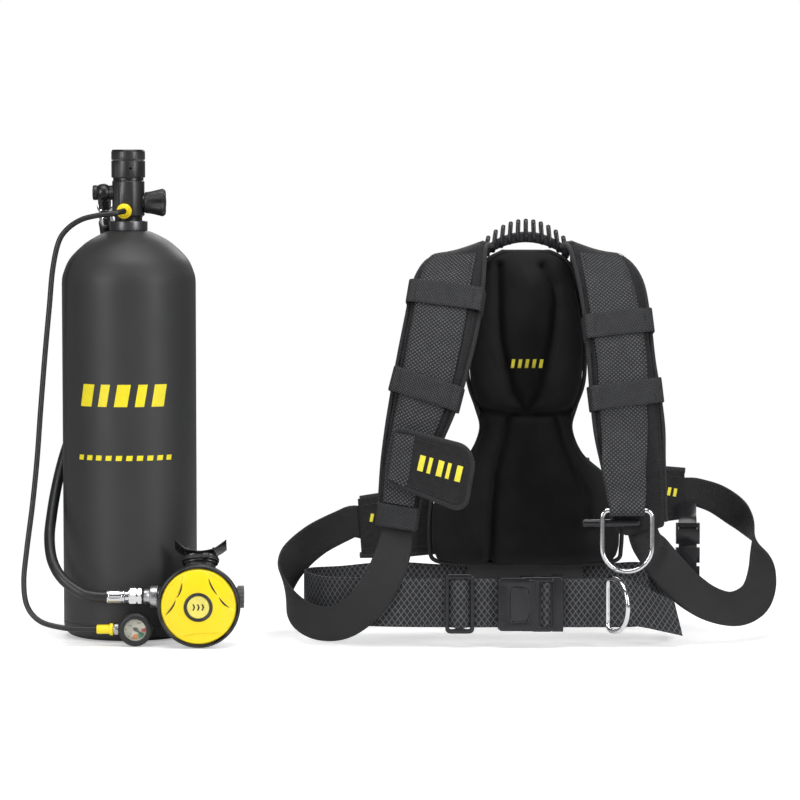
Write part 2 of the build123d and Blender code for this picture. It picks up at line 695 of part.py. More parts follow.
# front cover: the water slots are arcs about centres up and out to each side
SLOT_CENTRE_X, SLOT_CENTRE_Z = 52.0, 32.0   # from the cover's middle
SLOT_R, SLOT_HALF_W = 35.0, 0.8
with BuildPart() as front_cover:
    with BuildSketch(stage_mid):
        with BuildLine():
            Line((38.8, -105.2), (38.8, -110.0))
            Spline(
                (38.8, -110.0), (35.5, -112.6), (26, -115.2), (15.0, -116.4),
                tangents=[(-0.5, -1), (-1, -0.05)],
            )
            Line((15.0, -116.4), (15.0, -114.2))
            Spline(
                (15.0, -114.2), (26, -113.0), (34.6, -110.6), (36.8, -108.6),
                tangents=[(1, 0.05), (0.6, 1)],
            )
            Polyline((36.8, -108.6), (36.8, -105.2), (38.8, -105.2))
        make_face()
    revolve(axis=stage_axis)
    # two slots on each side
    with BuildSketch(stage_front.offset(104)):
        for side_sign in (-1, 1):
            for start, end in ((2.0, 17.0), (20.5, 36.0)):
                angles = [math.radians(180 + a) for a in (start, (start + end) / 2, end)]
                rims = [
                    [
                        (side_sign * (SLOT_CENTRE_X + radius * math.cos(a)),
                         SLOT_CENTRE_Z + radius * math.sin(a))
                        for a in angles
                    ]
                    for radius in (SLOT_R - SLOT_HALF_W, SLOT_R + SLOT_HALF_W)
                ]
                with BuildLine():
                    inner_rim = ThreePointArc(*rims[0])
                    outer_rim = ThreePointArc(*rims[1])
                    Line(inner_rim @ 0, outer_rim @ 0)
                    Line(inner_rim @ 1, outer_rim @ 1)
                make_face()
    extrude(amount=14, mode=Mode.SUBTRACT)
save(front_cover.part, "front_cover")

save(turned(
    [
        (12.0, -117.4), (13.4, -117.9), (14.9, -117.2), (14.9, -114.0), (14.9, -106.4),
        (3.3, -106.4), (3.3, -107.6), (12.0, -107.6),
    ],
    stage_mid, stage_axis,
), "purge_ring")

save(turned(
    [
        (0, -116.9), (11.0, -116.6), (11.8, -116.0), (11.8, -114.0), (3.1, -114.0),
        (3.1, -102.4), (0, -102.4),
    ],
    stage_mid, stage_axis,
), "purge_button")

save(
    coil_spring(
        pitch=1.55, height=5.0, radius=7.4, wire_r=0.45,
        center=(STAGE_X, -108.4, STAGE_Z), direction=(0, -1, 0),
    ),
    "purge_spring",
)

with BuildPart() as exhaust_cover:
    add(rod(exhaust_line.offset(67.4), 14.4, -4.4))
    fillet(exhaust_cover.faces().sort_by(Axis.Y)[-1].edges(), 1.6)
    add(rod(exhaust_line.offset(67.4), 12.4, -2.8), mode=Mode.SUBTRACT)
    with BuildSketch(exhaust_line.offset(67.4)):
        with GridLocations(5.4, 0, 4, 1):
            SlotOverall(12, 2.6, rotation=90)
    extrude(amount=-6, mode=Mode.SUBTRACT)
save(exhaust_cover.part, "exhaust_cover")

# mouthpiece: curved bite wing on an oval tube
wing_plane = Plane(origin=mouth_plane.origin, x_dir=(1, 0, 0), z_dir=mouth_plane.y_dir * -1)
with BuildPart() as mouthpiece:
    with BuildSketch(mouth_plane.offset(16)):
        Ellipse(18.4, 11.8)
    extrude(amount=15.0)
    with BuildSketch(wing_plane.offset(-13)):
        # x along the wing, y along the mouth axis
        with BuildLine():
            ThreePointArc((-27.5, 43.5), (0, 28.5), (27.5, 43.5))
            Line((27.5, 43.5), (25.6, 45.2))
            ThreePointArc((25.6, 45.2), (0, 31.2), (-25.6, 45.2))
            Line((-25.6, 45.2), (-27.5, 43.5))
        make_face()
    extrude(amount=26)
    # socket for the mouth tube, then the opening through the wing
    with BuildSketch(mouth_plane.offset(10)):
        Ellipse(16.05, 9.65)
    extrude(amount=17.1, mode=Mode.SUBTRACT)
    with BuildSketch(mouth_plane.offset(20)):
        Ellipse(12.5, 6.6)
    extrude(amount=20, mode=Mode.SUBTRACT)
save(mouthpiece.part, "mouthpiece")

with BuildPart() as mouthpiece_tie:
    with BuildSketch(mouth_plane.offset(19)):
        Ellipse(19.5, 12.9)
        Ellipse(18.45, 11.85, mode=Mode.SUBTRACT)
    extrude(amount=3.4)
    # block on the front of the tie
    with Locations(mouth_plane.offset(20.7).location * Location((6, -13.6, 0))):
        Box(6, 3.2, 5)
    with BuildSketch(mouth_plane.offset(16)):
        Ellipse(18.45, 11.85)
    extrude(amount=12, mode=Mode.SUBTRACT)
save(mouthpiece_tie.part, "mouthpiece_tie")

ADJUST_X0, ADJUST_T = 116.8, 6.6
with BuildPart() as adjust_knob:
    add(rod(inlet_line.offset(ADJUST_X0), 11.6, ADJUST_T))
    # grip flutes
    with BuildSketch(inlet_line.offset(ADJUST_X0)):
        with PolarLocations(12.3, 16):
            Circle(1.35)
    extrude(amount=ADJUST_T, mode=Mode.SUBTRACT)
    # shank, then the slot across the face
    add(rod(inlet_line.offset(100), 3.5, 16.9))
    with BuildSketch(inlet_line.offset(ADJUST_X0 + ADJUST_T)):
        Rectangle(1.4, 12)
    extrude(amount=-1.4, mode=Mode.SUBTRACT)
save(adjust_knob.part, "adjust_knob")


# ===========================================================================
# Harness back: plate, pad and carrying handle
# ===========================================================================
def mirrored_slab(half_outline, y_front, y_back):
    """Slab symmetric about the harness's middle plane."""
    with BuildPart(mode=Mode.PRIVATE) as slab:
        with BuildSketch(facing_front(HARNESS_X, y_front, 0)):
            with BuildLine():
                Polyline(*half_outline)
                Polyline(*[(-x, z) for x, z in half_outline])
            make_face()
        extrude(amount=-(y_back - y_front))
    return slab.part


# right halves, (x from the middle plane, z), top to bottom
HALF_PLATE = [
    (0, 396), (26, 395), (41, 387), (50, 368), (55, 330), (57, 290), (55, 262), (48, 240),
    (44, 218), (54, 190), (74, 170), (90, 152), (95, 126), (95, 92), (90, 80), (62, 76),
    (60, 22), (0, 22),
]
HALF_PAD = [
    (0, 393), (28, 392), (44, 383), (53, 366), (60, 330), (62, 290), (60, 262), (52, 238),
    (47, 215), (58, 188), (80, 168), (96, 150), (101, 125), (101, 90), (95, 75), (60, 71),
    (0, 71),
]
PLATE_T = PLATE_Y1 - PLATE_Y0
PLATE_MID_Y = (PLATE_Y0 + PLATE_Y1) / 2
LUG_X = 50.5          # handle lugs, from the middle plane
with BuildPart() as back_plate:
    add(mirrored_slab(HALF_PLATE, PLATE_Y0, PLATE_Y1))
    # tabs that carry the tank bands
    for z in BAND_MID_Z:
        with Locations((HARNESS_X, PLATE_MID_Y, z)):
            Box(136, PLATE_T, 66)
    # shoulders below the lugs
    with Locations((HARNESS_X, PLATE_MID_Y, 378)):
        Box(108, PLATE_T, 20)
    # lugs for the carrying handle
    for side_sign in (-1, 1):
        with Locations((HARNESS_X + side_sign * LUG_X, HANDLE_Y, 392.0)):
            Box(7, 10, 24)
        add(rod(handle_line.offset(side_sign * LUG_X - 4), 2.6, 8), mode=Mode.SUBTRACT)
    # slots for the bands
    for z in BAND_MID_Z:
        with BuildSketch(facing_front(HARNESS_X, PLATE_Y0 - 1, z)):
            with Locations((-54.3, 0), (54.3, 0)):
                Rectangle(7.0, BAND_W + 4)
        extrude(amount=-8, mode=Mode.SUBTRACT)
save(back_plate.part, "back_plate")

save(mirrored_slab(HALF_PAD, PAD_Y0, PAD_Y1), "back_pad")

# carrying handle: curved bar with a row of finger fins, pinned to the lugs
FIN_COUNT, FIN_PITCH, FIN_T, FIN_H = 11, 8.3, 3.0, 26.4
with BuildPart() as carry_handle:
    with BuildSketch(facing_front(HARNESS_X, HANDLE_Y - 6, 0)):
        with BuildLine():
            ThreePointArc((-46, 405), (0, 423), (46, 405))
            Polyline((46, 405), (46, 396.5), (38, 396.5), (38, 400.0))
            ThreePointArc((38, 400.0), (0, 411.5), (-38, 400.0))
            Polyline((-38, 400.0), (-38, 396.5), (-46, 396.5), (-46, 405))
        make_face()
    extrude(amount=-12)
    for i in range(FIN_COUNT):
        fin_x = FIN_PITCH * (i - (FIN_COUNT - 1) / 2)
        fin_top = 436.8 - 19.0 * (fin_x / 43.0) ** 2
        fin_plane = facing_right(
            HARNESS_X + fin_x - FIN_T / 2, HANDLE_Y, fin_top - FIN_H / 2
        )
        with BuildSketch(fin_plane):
            RectangleRounded(17.0, FIN_H, 7.0)
        extrude(amount=FIN_T)
    # pins
    for side_sign in (-1, 1):
        add(rod(handle_line.offset(side_sign * 42), 2.5, side_sign * 12))
save(carry_handle.part, "carry_handle")

# ===========================================================================
# Shoulder straps
# ===========================================================================
# x, y, z, width: from the plate over the shoulder and down the front
LEFT_PAD = [
    (364, 28, 399, 42), (353, 8, 401, 54), (342, -14, 393, 66), (334, -38, 368, 74),
    (327, -56, 330, 76), (318, -68, 290, 74), (309, -75, 254, 69), (299, -79, 220, 60),
    (290, -80, 186, 50), (283.5, -79, 146, 42), (281, -78, 128, 38),
]
RIGHT_PAD = [
    (470, 28, 399, 42), (481, 8, 401, 54), (493, -14, 393, 64), (503, -38, 368, 68),
    (508.5, -56, 330, 68), (512, -68, 290, 69), (516, -75, 254, 72), (520, -79, 220, 72),
    (524, -80, 186, 65), (529, -79, 146, 58), (535, -77, 116, 48),
]
PAD_ROLL = (0.34, 0.34, 0.24, 0.1)   # sideways slope at the first stations


def pad_planes(points, side_sign):
    """Station planes down a shoulder pad: x across it, y out of its face."""
    directions = tangents([p[:3] for p in points])
    planes = []
    for i, point in enumerate(points):
        yaw = math.radians(side_sign * PAD_YAW * min(1.0, i / 4.0))
        roll = -side_sign * PAD_ROLL[i] if i < len(PAD_ROLL) else 0.0
        planes.append(station(point[:3], directions[i], (math.cos(yaw), math.sin(yaw), roll)))
    return planes


left_planes = pad_planes(LEFT_PAD, -1)
right_planes = pad_planes(RIGHT_PAD, 1)

with BuildPart() as shoulder_pads:
    for points, planes in ((LEFT_PAD, left_planes), (RIGHT_PAD, right_planes)):
        sections = [(plane, (0, 0), point[3]) for point, plane in zip(points, planes)]
        add(ruled_loft(sections, PAD_T, corner=5.0))
save(shoulder_pads.part, "shoulder_pads")

# webbing lying on the pads: (station number, sideways offset, width)
LEFT_WEB = [
    (2, 0, 50), (3, -2, 54), (4, -2, 55), (5, -1, 54), (6, 0, 50), (7, 0, 44), (8, 0, 38),
    (9, 0, 32),
]
RIGHT_WEB = [(2, -2, 48), (3, -4, 50), (4, -3, 52), (5, -1, 52), (6, -5, 50), (7, -7, 48)]
WEB_T = 2.0
WEB_LIFT = PAD_T / 2 + 0.8 + WEB_T / 2   # middle of the webbing above the pad's middle


def web_sections(rows, planes):
    return [(planes[i], (shift, WEB_LIFT), width) for i, shift, width in rows]


# free end of the right webbing, hanging clear of the pad down to the ring
free_end = [
    (station((513.5, -96.4, 186), (0, 0, -1), (1, 0.1, 0)), (0, 0), 45),
    (station((516.5, -99.0, 145), (0, 0, -1), (1, 0, 0)), (0, 0), 38),
]
ring_bar_line = facing_right(RING_X, RING_Y, RING_Z)
with BuildPart() as shoulder_webbing:
    add(ruled_loft(web_sections(LEFT_WEB, left_planes), WEB_T))
    add(ruled_loft(web_sections(RIGHT_WEB, right_planes) + free_end, WEB_T))
    # loop that holds the ring
    add(rod(ring_bar_line.offset(-18), 4.9, 36))
    add(rod(ring_bar_line.offset(-18.5), RING_WIRE_R + 0.08, 37), mode=Mode.SUBTRACT)
save(shoulder_webbing.part, "shoulder_webbing")


def between(a, b, share):
    return a * (1 - share) + b * share


# bands sewn across the pads, two a side, each at a fractional station number
CROSS_BAND_H = 26
with BuildPart() as cross_bands:
    for planes, points, position in (
        (left_planes, LEFT_PAD, 3.35), (left_planes, LEFT_PAD, 5.75),
        (right_planes, RIGHT_PAD, 4.05), (right_planes, RIGHT_PAD, 5.9),
    ):
        i = int(position)
        share = position - i
        above, below = planes[i], planes[i + 1]
        band_plane = Plane(
            origin=between(above.origin, below.origin, share),
            x_dir=between(above.x_dir, below.x_dir, share),
            z_dir=between(above.z_dir, below.z_dir, share),
        )
        inside_width = between(points[i][3], points[i + 1][3], share) + 7.0
        with BuildSketch(band_plane.offset(-CROSS_BAND_H / 2)):
            with Locations((0, 1.6)):
                Rectangle(inside_width + 3.0, PAD_T + 10.4)
                Rectangle(inside_width, PAD_T + 7.6, mode=Mode.SUBTRACT)
            # gap behind the pad
            with Locations((0, -PAD_T / 2 - 4)):
                Rectangle(inside_width - 14, 6, mode=Mode.SUBTRACT)
        extrude(amount=CROSS_BAND_H)
save(cross_bands.part, "cross_bands")

# hose keeper: a stiff flap in front of the left strap, parallel to its face
keeper_yaw = math.radians(-PAD_YAW)
keeper_plane = Plane(
    origin=(294.0, -92.4, 185.0),
    x_dir=(math.cos(keeper_yaw), math.sin(keeper_yaw), 0.0),
    z_dir=(math.sin(keeper_yaw), -math.cos(keeper_yaw), 0.0),
)
with BuildPart() as hose_keeper:
    add(prism(
        keeper_plane,
        [
            (-14.3, 39.0), (58.4, 21.3), (66.0, 5.3), (58.2, -37.0), (50.0, -41.6),
            (-23.2, -14.2),
        ],
        4.6,
    ))
    keeper_normal = Axis(keeper_plane.origin, keeper_plane.z_dir)
    fillet(hose_keeper.edges().filter_by(keeper_normal), 3.0)
save(hose_keeper.part, "hose_keeper")

# straps looping from the shoulder pads' lower ends to the hips:
# centre, direction across the strap, width
LEFT_LOOP = [
    ((281.0, -79.0, 122.5), (1, 0, 0), 30),
    ((279.6, -85.0, 108.0), (1, 0, -0.08), 34),
    ((275.0, -95.0, 90.0), (0.95, 0, -0.3), 37),
    ((264.0, -103.0, 66.0), (0.84, 0, -0.52), 38),
    ((247.0, -105.0, 42.5), (0.68, 0.05, -0.72), 38),
    ((222.0, -99.0, 25.5), (0.4, 0.1, -0.9), 38),
    ((194.0, -83.0, 24.0), (0.15, 0.1, -0.98), 38),
    ((173.0, -60.0, 36.0), (0.12, -0.05, -0.98), 38),
    ((164.0, -31.0, 56.0), (0.2, -0.2, -0.95), 37),
    ((171.0, -2.0, 77.0), (0.28, -0.2, -0.93), 36),
    ((194.0, 17.0, 97.0), (0.3, -0.12, -0.94), 35),
    ((224.0, 26.0, 112.0), (0.25, 0, -0.96), 34),
    ((235.5, 28.0, 116.0), (0.2, 0, -0.97), 34),
]
RIGHT_LOOP = [
    ((536.0, -78.0, 110.4), (1, 0, 0.2), 32),
    ((545.0, -84.0, 97.0), (0.86, 0, 0.5), 36),
    ((560.0, -89.0, 78.0), (0.78, 0.05, 0.62), 38),
    ((581.0, -86.0, 57.0), (0.66, 0.25, 0.7), 38),
    ((606.0, -76.0, 41.0), (0.45, 0.5, 0.74), 38),
    ((633.0, -60.0, 34.5), (0.15, 0.62, 0.76), 38),
    ((655.0, -39.0, 44.0), (-0.1, 0.5, 0.85), 37),
    ((664.0, -18.0, 68.0), (-0.35, 0.3, 0.88), 36),
    ((660.0, -2.0, 95.0), (-0.42, 0.1, 0.9), 35),
    ((645.0, 11.0, 121.0), (-0.3, -0.05, 0.95), 34),
    ((622.0, 19.0, 139.0), (-0.12, 0, 0.99), 32),
    ((600.0, 24.0, 147.0), (0, 0, 1), 30),
    ((590.0, 25.5, 148.0), (0, 0, 1), 30),
]
with BuildPart() as loop_straps:
    add(ribbon(LEFT_LOOP, 2.2))
    add(ribbon(RIGHT_LOOP, 2.2))
save(loop_straps.part, "loop_straps")

# wings from the plate that carry the loop straps at the hips:
# centre, direction outward, height
LEFT_TAB = [
    ((321.0, 38.0, 116), (-1, 0, 0), 66),
    ((285.0, 35.0, 113), (-1, -0.1, 0), 66),
    ((241.5, 28.5, 110), (-1, -0.2, 0), 60),
]
RIGHT_TAB = [
    ((513.0, 38.0, 138), (1, 0, 0), 54),
    ((550.0, 34.0, 144), (1, -0.1, 0), 56),
    ((586.0, 27.5, 146), (1, -0.2, 0), 48),
]
with BuildPart() as side_tabs:
    for tab in (LEFT_TAB, RIGHT_TAB):
        sections = [
            (station(centre, outward, (0, 0, 1)), (0, 0), height)
            for centre, outward, height in tab
        ]
        add(ruled_loft(sections, 7.0, corner=2.5))
save(side_tabs.part, "side_tabs")

# small side release buckle hanging below the right wing
SIDE_BUCKLE_X, SIDE_BUCKLE_Y = 588.0, 12.0
with BuildPart() as side_buckle:
    # top, middle and bottom blocks: z, then size
    for z, size in ((105.0, (25, 8, 22)), (81.0, (19, 6, 26)), (63.5, (25, 8, 13))):
        with Locations((SIDE_BUCKLE_X, SIDE_BUCKLE_Y, z)):
            Box(*size)
    # release tabs at the sides
    for side_sign in (-1, 1):
        with Locations((SIDE_BUCKLE_X + side_sign * 11.0, SIDE_BUCKLE_Y, 82.0)):
            Box(3.4, 6, 16)
    # strap slots
    for z in (110.5, 61.0):
        with Locations((SIDE_BUCKLE_X, SIDE_BUCKLE_Y, z)):
            Box(20, 12, 3.0, mode=Mode.SUBTRACT)
    fillet(side_buckle.faces().filter_by(Axis.Y).edges().filter_by(Axis.Z), 1.2)
    # its short strap, up to the wing; (y, z)
    add(prism(
        Plane.YZ.offset(SIDE_BUCKLE_X - 9.5),
        [
            (10.9, 109.2), (13.1, 109.2), (13.1, 111.8), (21.4, 124.5), (21.4, 136),
            (19.4, 136), (19.4, 125.3), (10.9, 111.9),
        ],
        19,
    ))
save(side_buckle.part, "side_buckle")

# ===========================================================================
# Waist belt and its buckle
# ===========================================================================
# x, y of the webbing's middle: from the front round the left, the back and
# the right to the front again, open there for the buckle
BELT_POINTS = [
    (391.0, BELT_Y), (355.0, BELT_Y), (318.0, BELT_Y), (280.0, -94.5), (240.0, -86.0),
    (206.0, -66.0), (186.0, -34.0), (190.0, 2.0), (222.0, 30.0), (275.0, 40.6), (335.0, 41.9),
    (417.0, 41.9), (499.0, 41.9), (535.0, 38.0), (560.0, 20.0), (570.0, -12.0), (566.0, -48.0),
    (550.0, -76.0), (528.0, -92.0), (505.0, BELT_Y), (475.0, BELT_Y), (444.0, BELT_Y),
]
belt_line = smooth(BELT_POINTS, 5)
belt_outer, belt_inner = [], []
for (x, y), (dx, dy) in zip(belt_line, tangents(belt_line)):
    half = BELT_T / 2 / math.hypot(dx, dy)
    belt_outer.append((x - dy * half, y + dx * half))
    belt_inner.append((x + dy * half, y - dx * half))
save(prism(Plane.XY.offset(BELT_Z0), belt_outer + belt_inner[::-1], BELT_W), "waist_belt")

SLIDER_X = 345.2
with BuildPart() as belt_slider:
    with Locations((SLIDER_X, BELT_Y, BELT_MID_Z)):
        Box(28.5, 7.8, 62.0)
    fillet(belt_slider.edges().filter_by(Axis.Y), 4.0)
    fillet(belt_slider.faces().sort_by(Axis.Y)[0].edges(), 1.2)
    # way through for the belt, and two windows in the front
    with Locations((SLIDER_X, BELT_Y, BELT_MID_Z)):
        Box(40, 3.4, BELT_SLOT, mode=Mode.SUBTRACT)
    with Locations(*[(SLIDER_X + dx, BELT_Y - 5, BELT_MID_Z) for dx in (-6.6, 6.6)]):
        Box(7.2, 10, BELT_SLOT, mode=Mode.SUBTRACT)
save(belt_slider.part, "belt_slider")

with BuildPart() as buckle_female:
    add(prism(
        facing_front(0, BUCKLE_Y + 8.2, 0),   # (x, z)
        [
            (384, 19.5), (405, 19.5), (409, 17.0), (420, 17.0), (423.5, 22.0), (423.5, 36.0),
            (420.0, 38.0), (420.0, 52.0), (423.5, 54.0), (423.5, 68.0), (420, 73.0), (409, 73.0),
            (405, 70.5), (384, 70.5),
        ],
        13.6,
    ))
    fillet(buckle_female.faces().sort_by(Axis.Y)[0].edges(), 1.6)
    # pocket for the two prongs and the guide, open at the right, top and bottom
    with Locations((412.0, BUCKLE_Y, BELT_MID_Z)):
        Box(26, 6.4, 45.0, mode=Mode.SUBTRACT)
    with Locations((414.0, BUCKLE_Y, BELT_MID_Z)):
        Box(10, 5.8, 70.0, mode=Mode.SUBTRACT)
    # webbing pocket at the left
    with Locations((387.5, BELT_Y, BELT_MID_Z)):
        Box(9.0, 3.2, BELT_SLOT, mode=Mode.SUBTRACT)
save(buckle_female.part, "buckle_female")

SLEEVE_X = 445.7
with BuildPart() as buckle_male:
    # shoulder of the male half, in front of the webbing
    with Locations((438.0, BUCKLE_Y - 0.5, BELT_MID_Z)):
        Box(27.0, 7.0, 56.0)
    fillet(buckle_male.edges().filter_by(Axis.Y), 5.0)
    fillet(buckle_male.faces().sort_by(Axis.Y)[0].edges(), 1.4)
    # sleeve round the webbing
    with Locations((SLEEVE_X, BELT_Y - 0.6, BELT_MID_Z)):
        Box(11.4, 8.6, 58.0)
    with Locations((SLEEVE_X, BELT_Y, BELT_MID_Z)):
        Box(30, 3.0, BELT_SLOT, mode=Mode.SUBTRACT)
    # prongs with their catches, then the guide
    for side_sign in (-1, 1):
        with Locations((416.0, BUCKLE_Y, BELT_MID_Z + side_sign * 17.5)):
            Box(19.0, 5.2, 7.0)
        with Locations((412.0, BUCKLE_Y, BELT_MID_Z + side_sign * 20.0)):
            Box(8.0, 5.2, 3.6)
    with Locations((416.5, BUCKLE_Y, BELT_MID_Z)):
        Box(18.0, 5.2, 8.0)
save(buckle_male.part, "buckle_male")

# ===========================================================================
# Rings
# ===========================================================================
# ring hanging from the right shoulder webbing
with BuildPart() as shoulder_d_ring:
    add(u_ring(
        (RING_X, RING_Y, RING_Z), along=(1, 0, 0), outward=(0, 0, -1),
        half=25.5, corner=7.0, depth=63.0, wire_r=RING_WIRE_R,
    ))
save(shoulder_d_ring.part, "shoulder_d_ring")

# round bar across the right strap, behind the ring
with BuildPart() as ring_retainer:
    add(rod(facing_right(471, -91.9, 127.0), 3.7, 59))
    fillet(ring_retainer.edges().filter_by(GeomType.CIRCLE), 1.6)
save(ring_retainer.part, "ring_retainer")

# ring on the belt, standing out to the front and turned to the right
BELT_RING_TURN = math.radians(27)
with BuildPart() as belt_d_ring:
    add(u_ring(
        (497.0, BELT_Y - BELT_T / 2 - 0.8 - RING_WIRE_R, BELT_MID_Z), along=(0, 0, 1),
        outward=(math.sin(BELT_RING_TURN), -math.cos(BELT_RING_TURN), 0.0),
        half=27.0, corner=7.0, depth=40.0, wire_r=RING_WIRE_R,
    ))
save(belt_d_ring.part, "belt_d_ring")

# ===========================================================================
# Tank bands: webbing through the plate's slots and round the cylinder's place
# ===========================================================================
WEB_FRONT_Y = 33.4              # front of the webbing, ahead of the plate
ARM_BACK_Y = BAND_CY - 45.4     # where the straight arms meet the round part
with BuildPart() as tank_bands:
    for z in BAND_Z:
        with BuildSketch(Plane.XY.offset(z)):
            # round part, open towards the plate
            with Locations((HARNESS_X, BAND_CY)):
                Circle(BAND_R + BAND_T)
                Circle(BAND_R, mode=Mode.SUBTRACT)
            with Locations((HARNESS_X, BAND_CY - 46 - 20)):
                Rectangle(150, 40, mode=Mode.SUBTRACT)
            # arms through the slots, and the run between them
            for side_sign in (-1, 1):
                with Locations((HARNESS_X + side_sign * 55.25, (WEB_FRONT_Y + ARM_BACK_Y) / 2)):
                    Rectangle(BAND_T, ARM_BACK_Y - WEB_FRONT_Y)
            with Locations((HARNESS_X, WEB_FRONT_Y + 1.0)):
                Rectangle(111.2, 2.0)
        extrude(amount=BAND_W)
save(tank_bands.part, "tank_bands")

# cam buckles: a frame on each band, ears, pin and lever on the lower one
CAM_PIN_X, CAM_PIN_Y = HARNESS_X + 22.0, CAM_Y + 4.6
LOWER_Z = BAND_Z[1]
with BuildPart() as cam_frame:
    for z in BAND_MID_Z:
        with Locations((HARNESS_X, CAM_Y + 4.4, z)):
            Box(34, 4.4, 60)
            Box(16, 8, 44, mode=Mode.SUBTRACT)
    with Locations(*[(HARNESS_X + 19.5, CAM_PIN_Y, LOWER_Z + dz) for dz in (-3, 53)]):
        Box(13, 8, 4)
    add(rod(level(CAM_PIN_X, CAM_PIN_Y, LOWER_Z - 5), 2.0, 60))
save(cam_frame.part, "cam_frame")

with BuildPart() as cam_lever:
    with BuildSketch(level(HARNESS_X, CAM_Y, LOWER_Z + 1)):
        with Locations((CAM_PIN_X - HARNESS_X, CAM_PIN_Y - CAM_Y)):
            Circle(3.9)
        with BuildLine():
            Polyline(
                (22.0, 8.4), (-14.0, 13.0), (-24.0, 11.8), (-24.0, 10.0), (-13.0, 9.6),
                (17.0, 7.2), close=True,
            )
        make_face()
    extrude(amount=48)
    add(rod(level(CAM_PIN_X, CAM_PIN_Y, LOWER_Z), 2.05, 50), mode=Mode.SUBTRACT)
save(cam_lever.part, "cam_lever")
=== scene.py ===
# Air pack: a gas cylinder with its valve, hoses, demand regulator and pressure gauge stands
# on the left, and the padded harness that carries it stands on the right.
# The cylinder's axis is the Z axis, the floor is z = 0 and the front of everything faces -Y.
# Left and right are as seen from the front: left is -X.
# Lengths are in millimetres unless a comment says otherwise, and M turns them into metres.
import json
import math

import bmesh
import bpy
from mathutils import Matrix, Vector
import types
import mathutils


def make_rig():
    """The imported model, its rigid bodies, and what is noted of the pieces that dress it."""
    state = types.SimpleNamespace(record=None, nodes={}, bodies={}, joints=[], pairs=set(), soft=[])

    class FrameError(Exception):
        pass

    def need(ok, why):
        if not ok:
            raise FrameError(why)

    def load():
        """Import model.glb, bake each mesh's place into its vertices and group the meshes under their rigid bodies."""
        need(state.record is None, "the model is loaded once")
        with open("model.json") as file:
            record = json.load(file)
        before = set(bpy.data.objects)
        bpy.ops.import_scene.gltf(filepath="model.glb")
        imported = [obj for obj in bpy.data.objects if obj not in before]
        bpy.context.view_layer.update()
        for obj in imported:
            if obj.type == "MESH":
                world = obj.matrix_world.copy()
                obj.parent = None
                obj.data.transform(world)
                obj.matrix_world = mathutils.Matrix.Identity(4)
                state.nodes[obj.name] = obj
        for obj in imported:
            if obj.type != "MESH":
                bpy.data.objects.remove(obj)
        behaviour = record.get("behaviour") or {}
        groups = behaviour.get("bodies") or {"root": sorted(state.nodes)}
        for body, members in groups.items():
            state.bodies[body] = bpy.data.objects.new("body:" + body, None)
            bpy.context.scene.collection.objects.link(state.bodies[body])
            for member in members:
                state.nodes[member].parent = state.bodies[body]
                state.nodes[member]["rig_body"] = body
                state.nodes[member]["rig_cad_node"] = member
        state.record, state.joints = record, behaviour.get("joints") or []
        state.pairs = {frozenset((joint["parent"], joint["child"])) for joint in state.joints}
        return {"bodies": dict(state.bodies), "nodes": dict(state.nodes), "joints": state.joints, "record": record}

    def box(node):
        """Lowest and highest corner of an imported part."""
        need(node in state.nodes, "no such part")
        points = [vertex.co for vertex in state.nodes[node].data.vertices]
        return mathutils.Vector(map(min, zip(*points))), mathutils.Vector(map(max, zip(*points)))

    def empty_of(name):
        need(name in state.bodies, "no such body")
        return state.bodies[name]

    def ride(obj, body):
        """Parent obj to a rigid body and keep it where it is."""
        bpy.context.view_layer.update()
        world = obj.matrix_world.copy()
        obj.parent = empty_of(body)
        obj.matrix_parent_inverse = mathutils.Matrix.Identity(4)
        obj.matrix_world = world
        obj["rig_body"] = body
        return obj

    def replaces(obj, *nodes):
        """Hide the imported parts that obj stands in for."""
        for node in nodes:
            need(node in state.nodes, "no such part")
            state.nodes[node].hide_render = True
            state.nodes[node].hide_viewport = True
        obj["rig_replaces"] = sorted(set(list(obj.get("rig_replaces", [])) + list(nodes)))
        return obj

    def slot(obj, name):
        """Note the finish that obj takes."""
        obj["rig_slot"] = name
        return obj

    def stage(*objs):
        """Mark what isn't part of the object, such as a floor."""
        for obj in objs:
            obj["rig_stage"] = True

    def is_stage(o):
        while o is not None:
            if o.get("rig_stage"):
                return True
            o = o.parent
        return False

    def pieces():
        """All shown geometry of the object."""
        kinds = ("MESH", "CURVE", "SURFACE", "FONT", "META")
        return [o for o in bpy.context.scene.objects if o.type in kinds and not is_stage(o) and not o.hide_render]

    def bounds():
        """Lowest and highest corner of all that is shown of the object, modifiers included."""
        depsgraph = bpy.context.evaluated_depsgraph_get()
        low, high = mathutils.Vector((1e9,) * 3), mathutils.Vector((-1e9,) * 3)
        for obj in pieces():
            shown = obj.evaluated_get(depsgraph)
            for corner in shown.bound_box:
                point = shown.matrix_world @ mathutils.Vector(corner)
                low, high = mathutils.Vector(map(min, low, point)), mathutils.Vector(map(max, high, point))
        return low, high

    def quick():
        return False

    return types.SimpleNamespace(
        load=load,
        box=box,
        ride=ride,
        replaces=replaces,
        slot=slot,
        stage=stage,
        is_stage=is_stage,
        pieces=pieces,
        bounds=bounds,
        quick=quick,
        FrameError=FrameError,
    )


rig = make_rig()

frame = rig.load()
CAD_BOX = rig.bounds()
M = 0.001
NODES = frame["nodes"]
RECORD = frame["record"]
NODE_SLOT = {part["node"]: part["material_slot"] for part in RECORD["subparts"]}
BODY_OF = {
    node: body for body, nodes in RECORD["behaviour"]["bodies"].items() for node in nodes
}

# Bodies that most pieces ride on
CYLINDER, REGULATOR, HARNESS = "cylinder_unit", "second_stage", "harness"

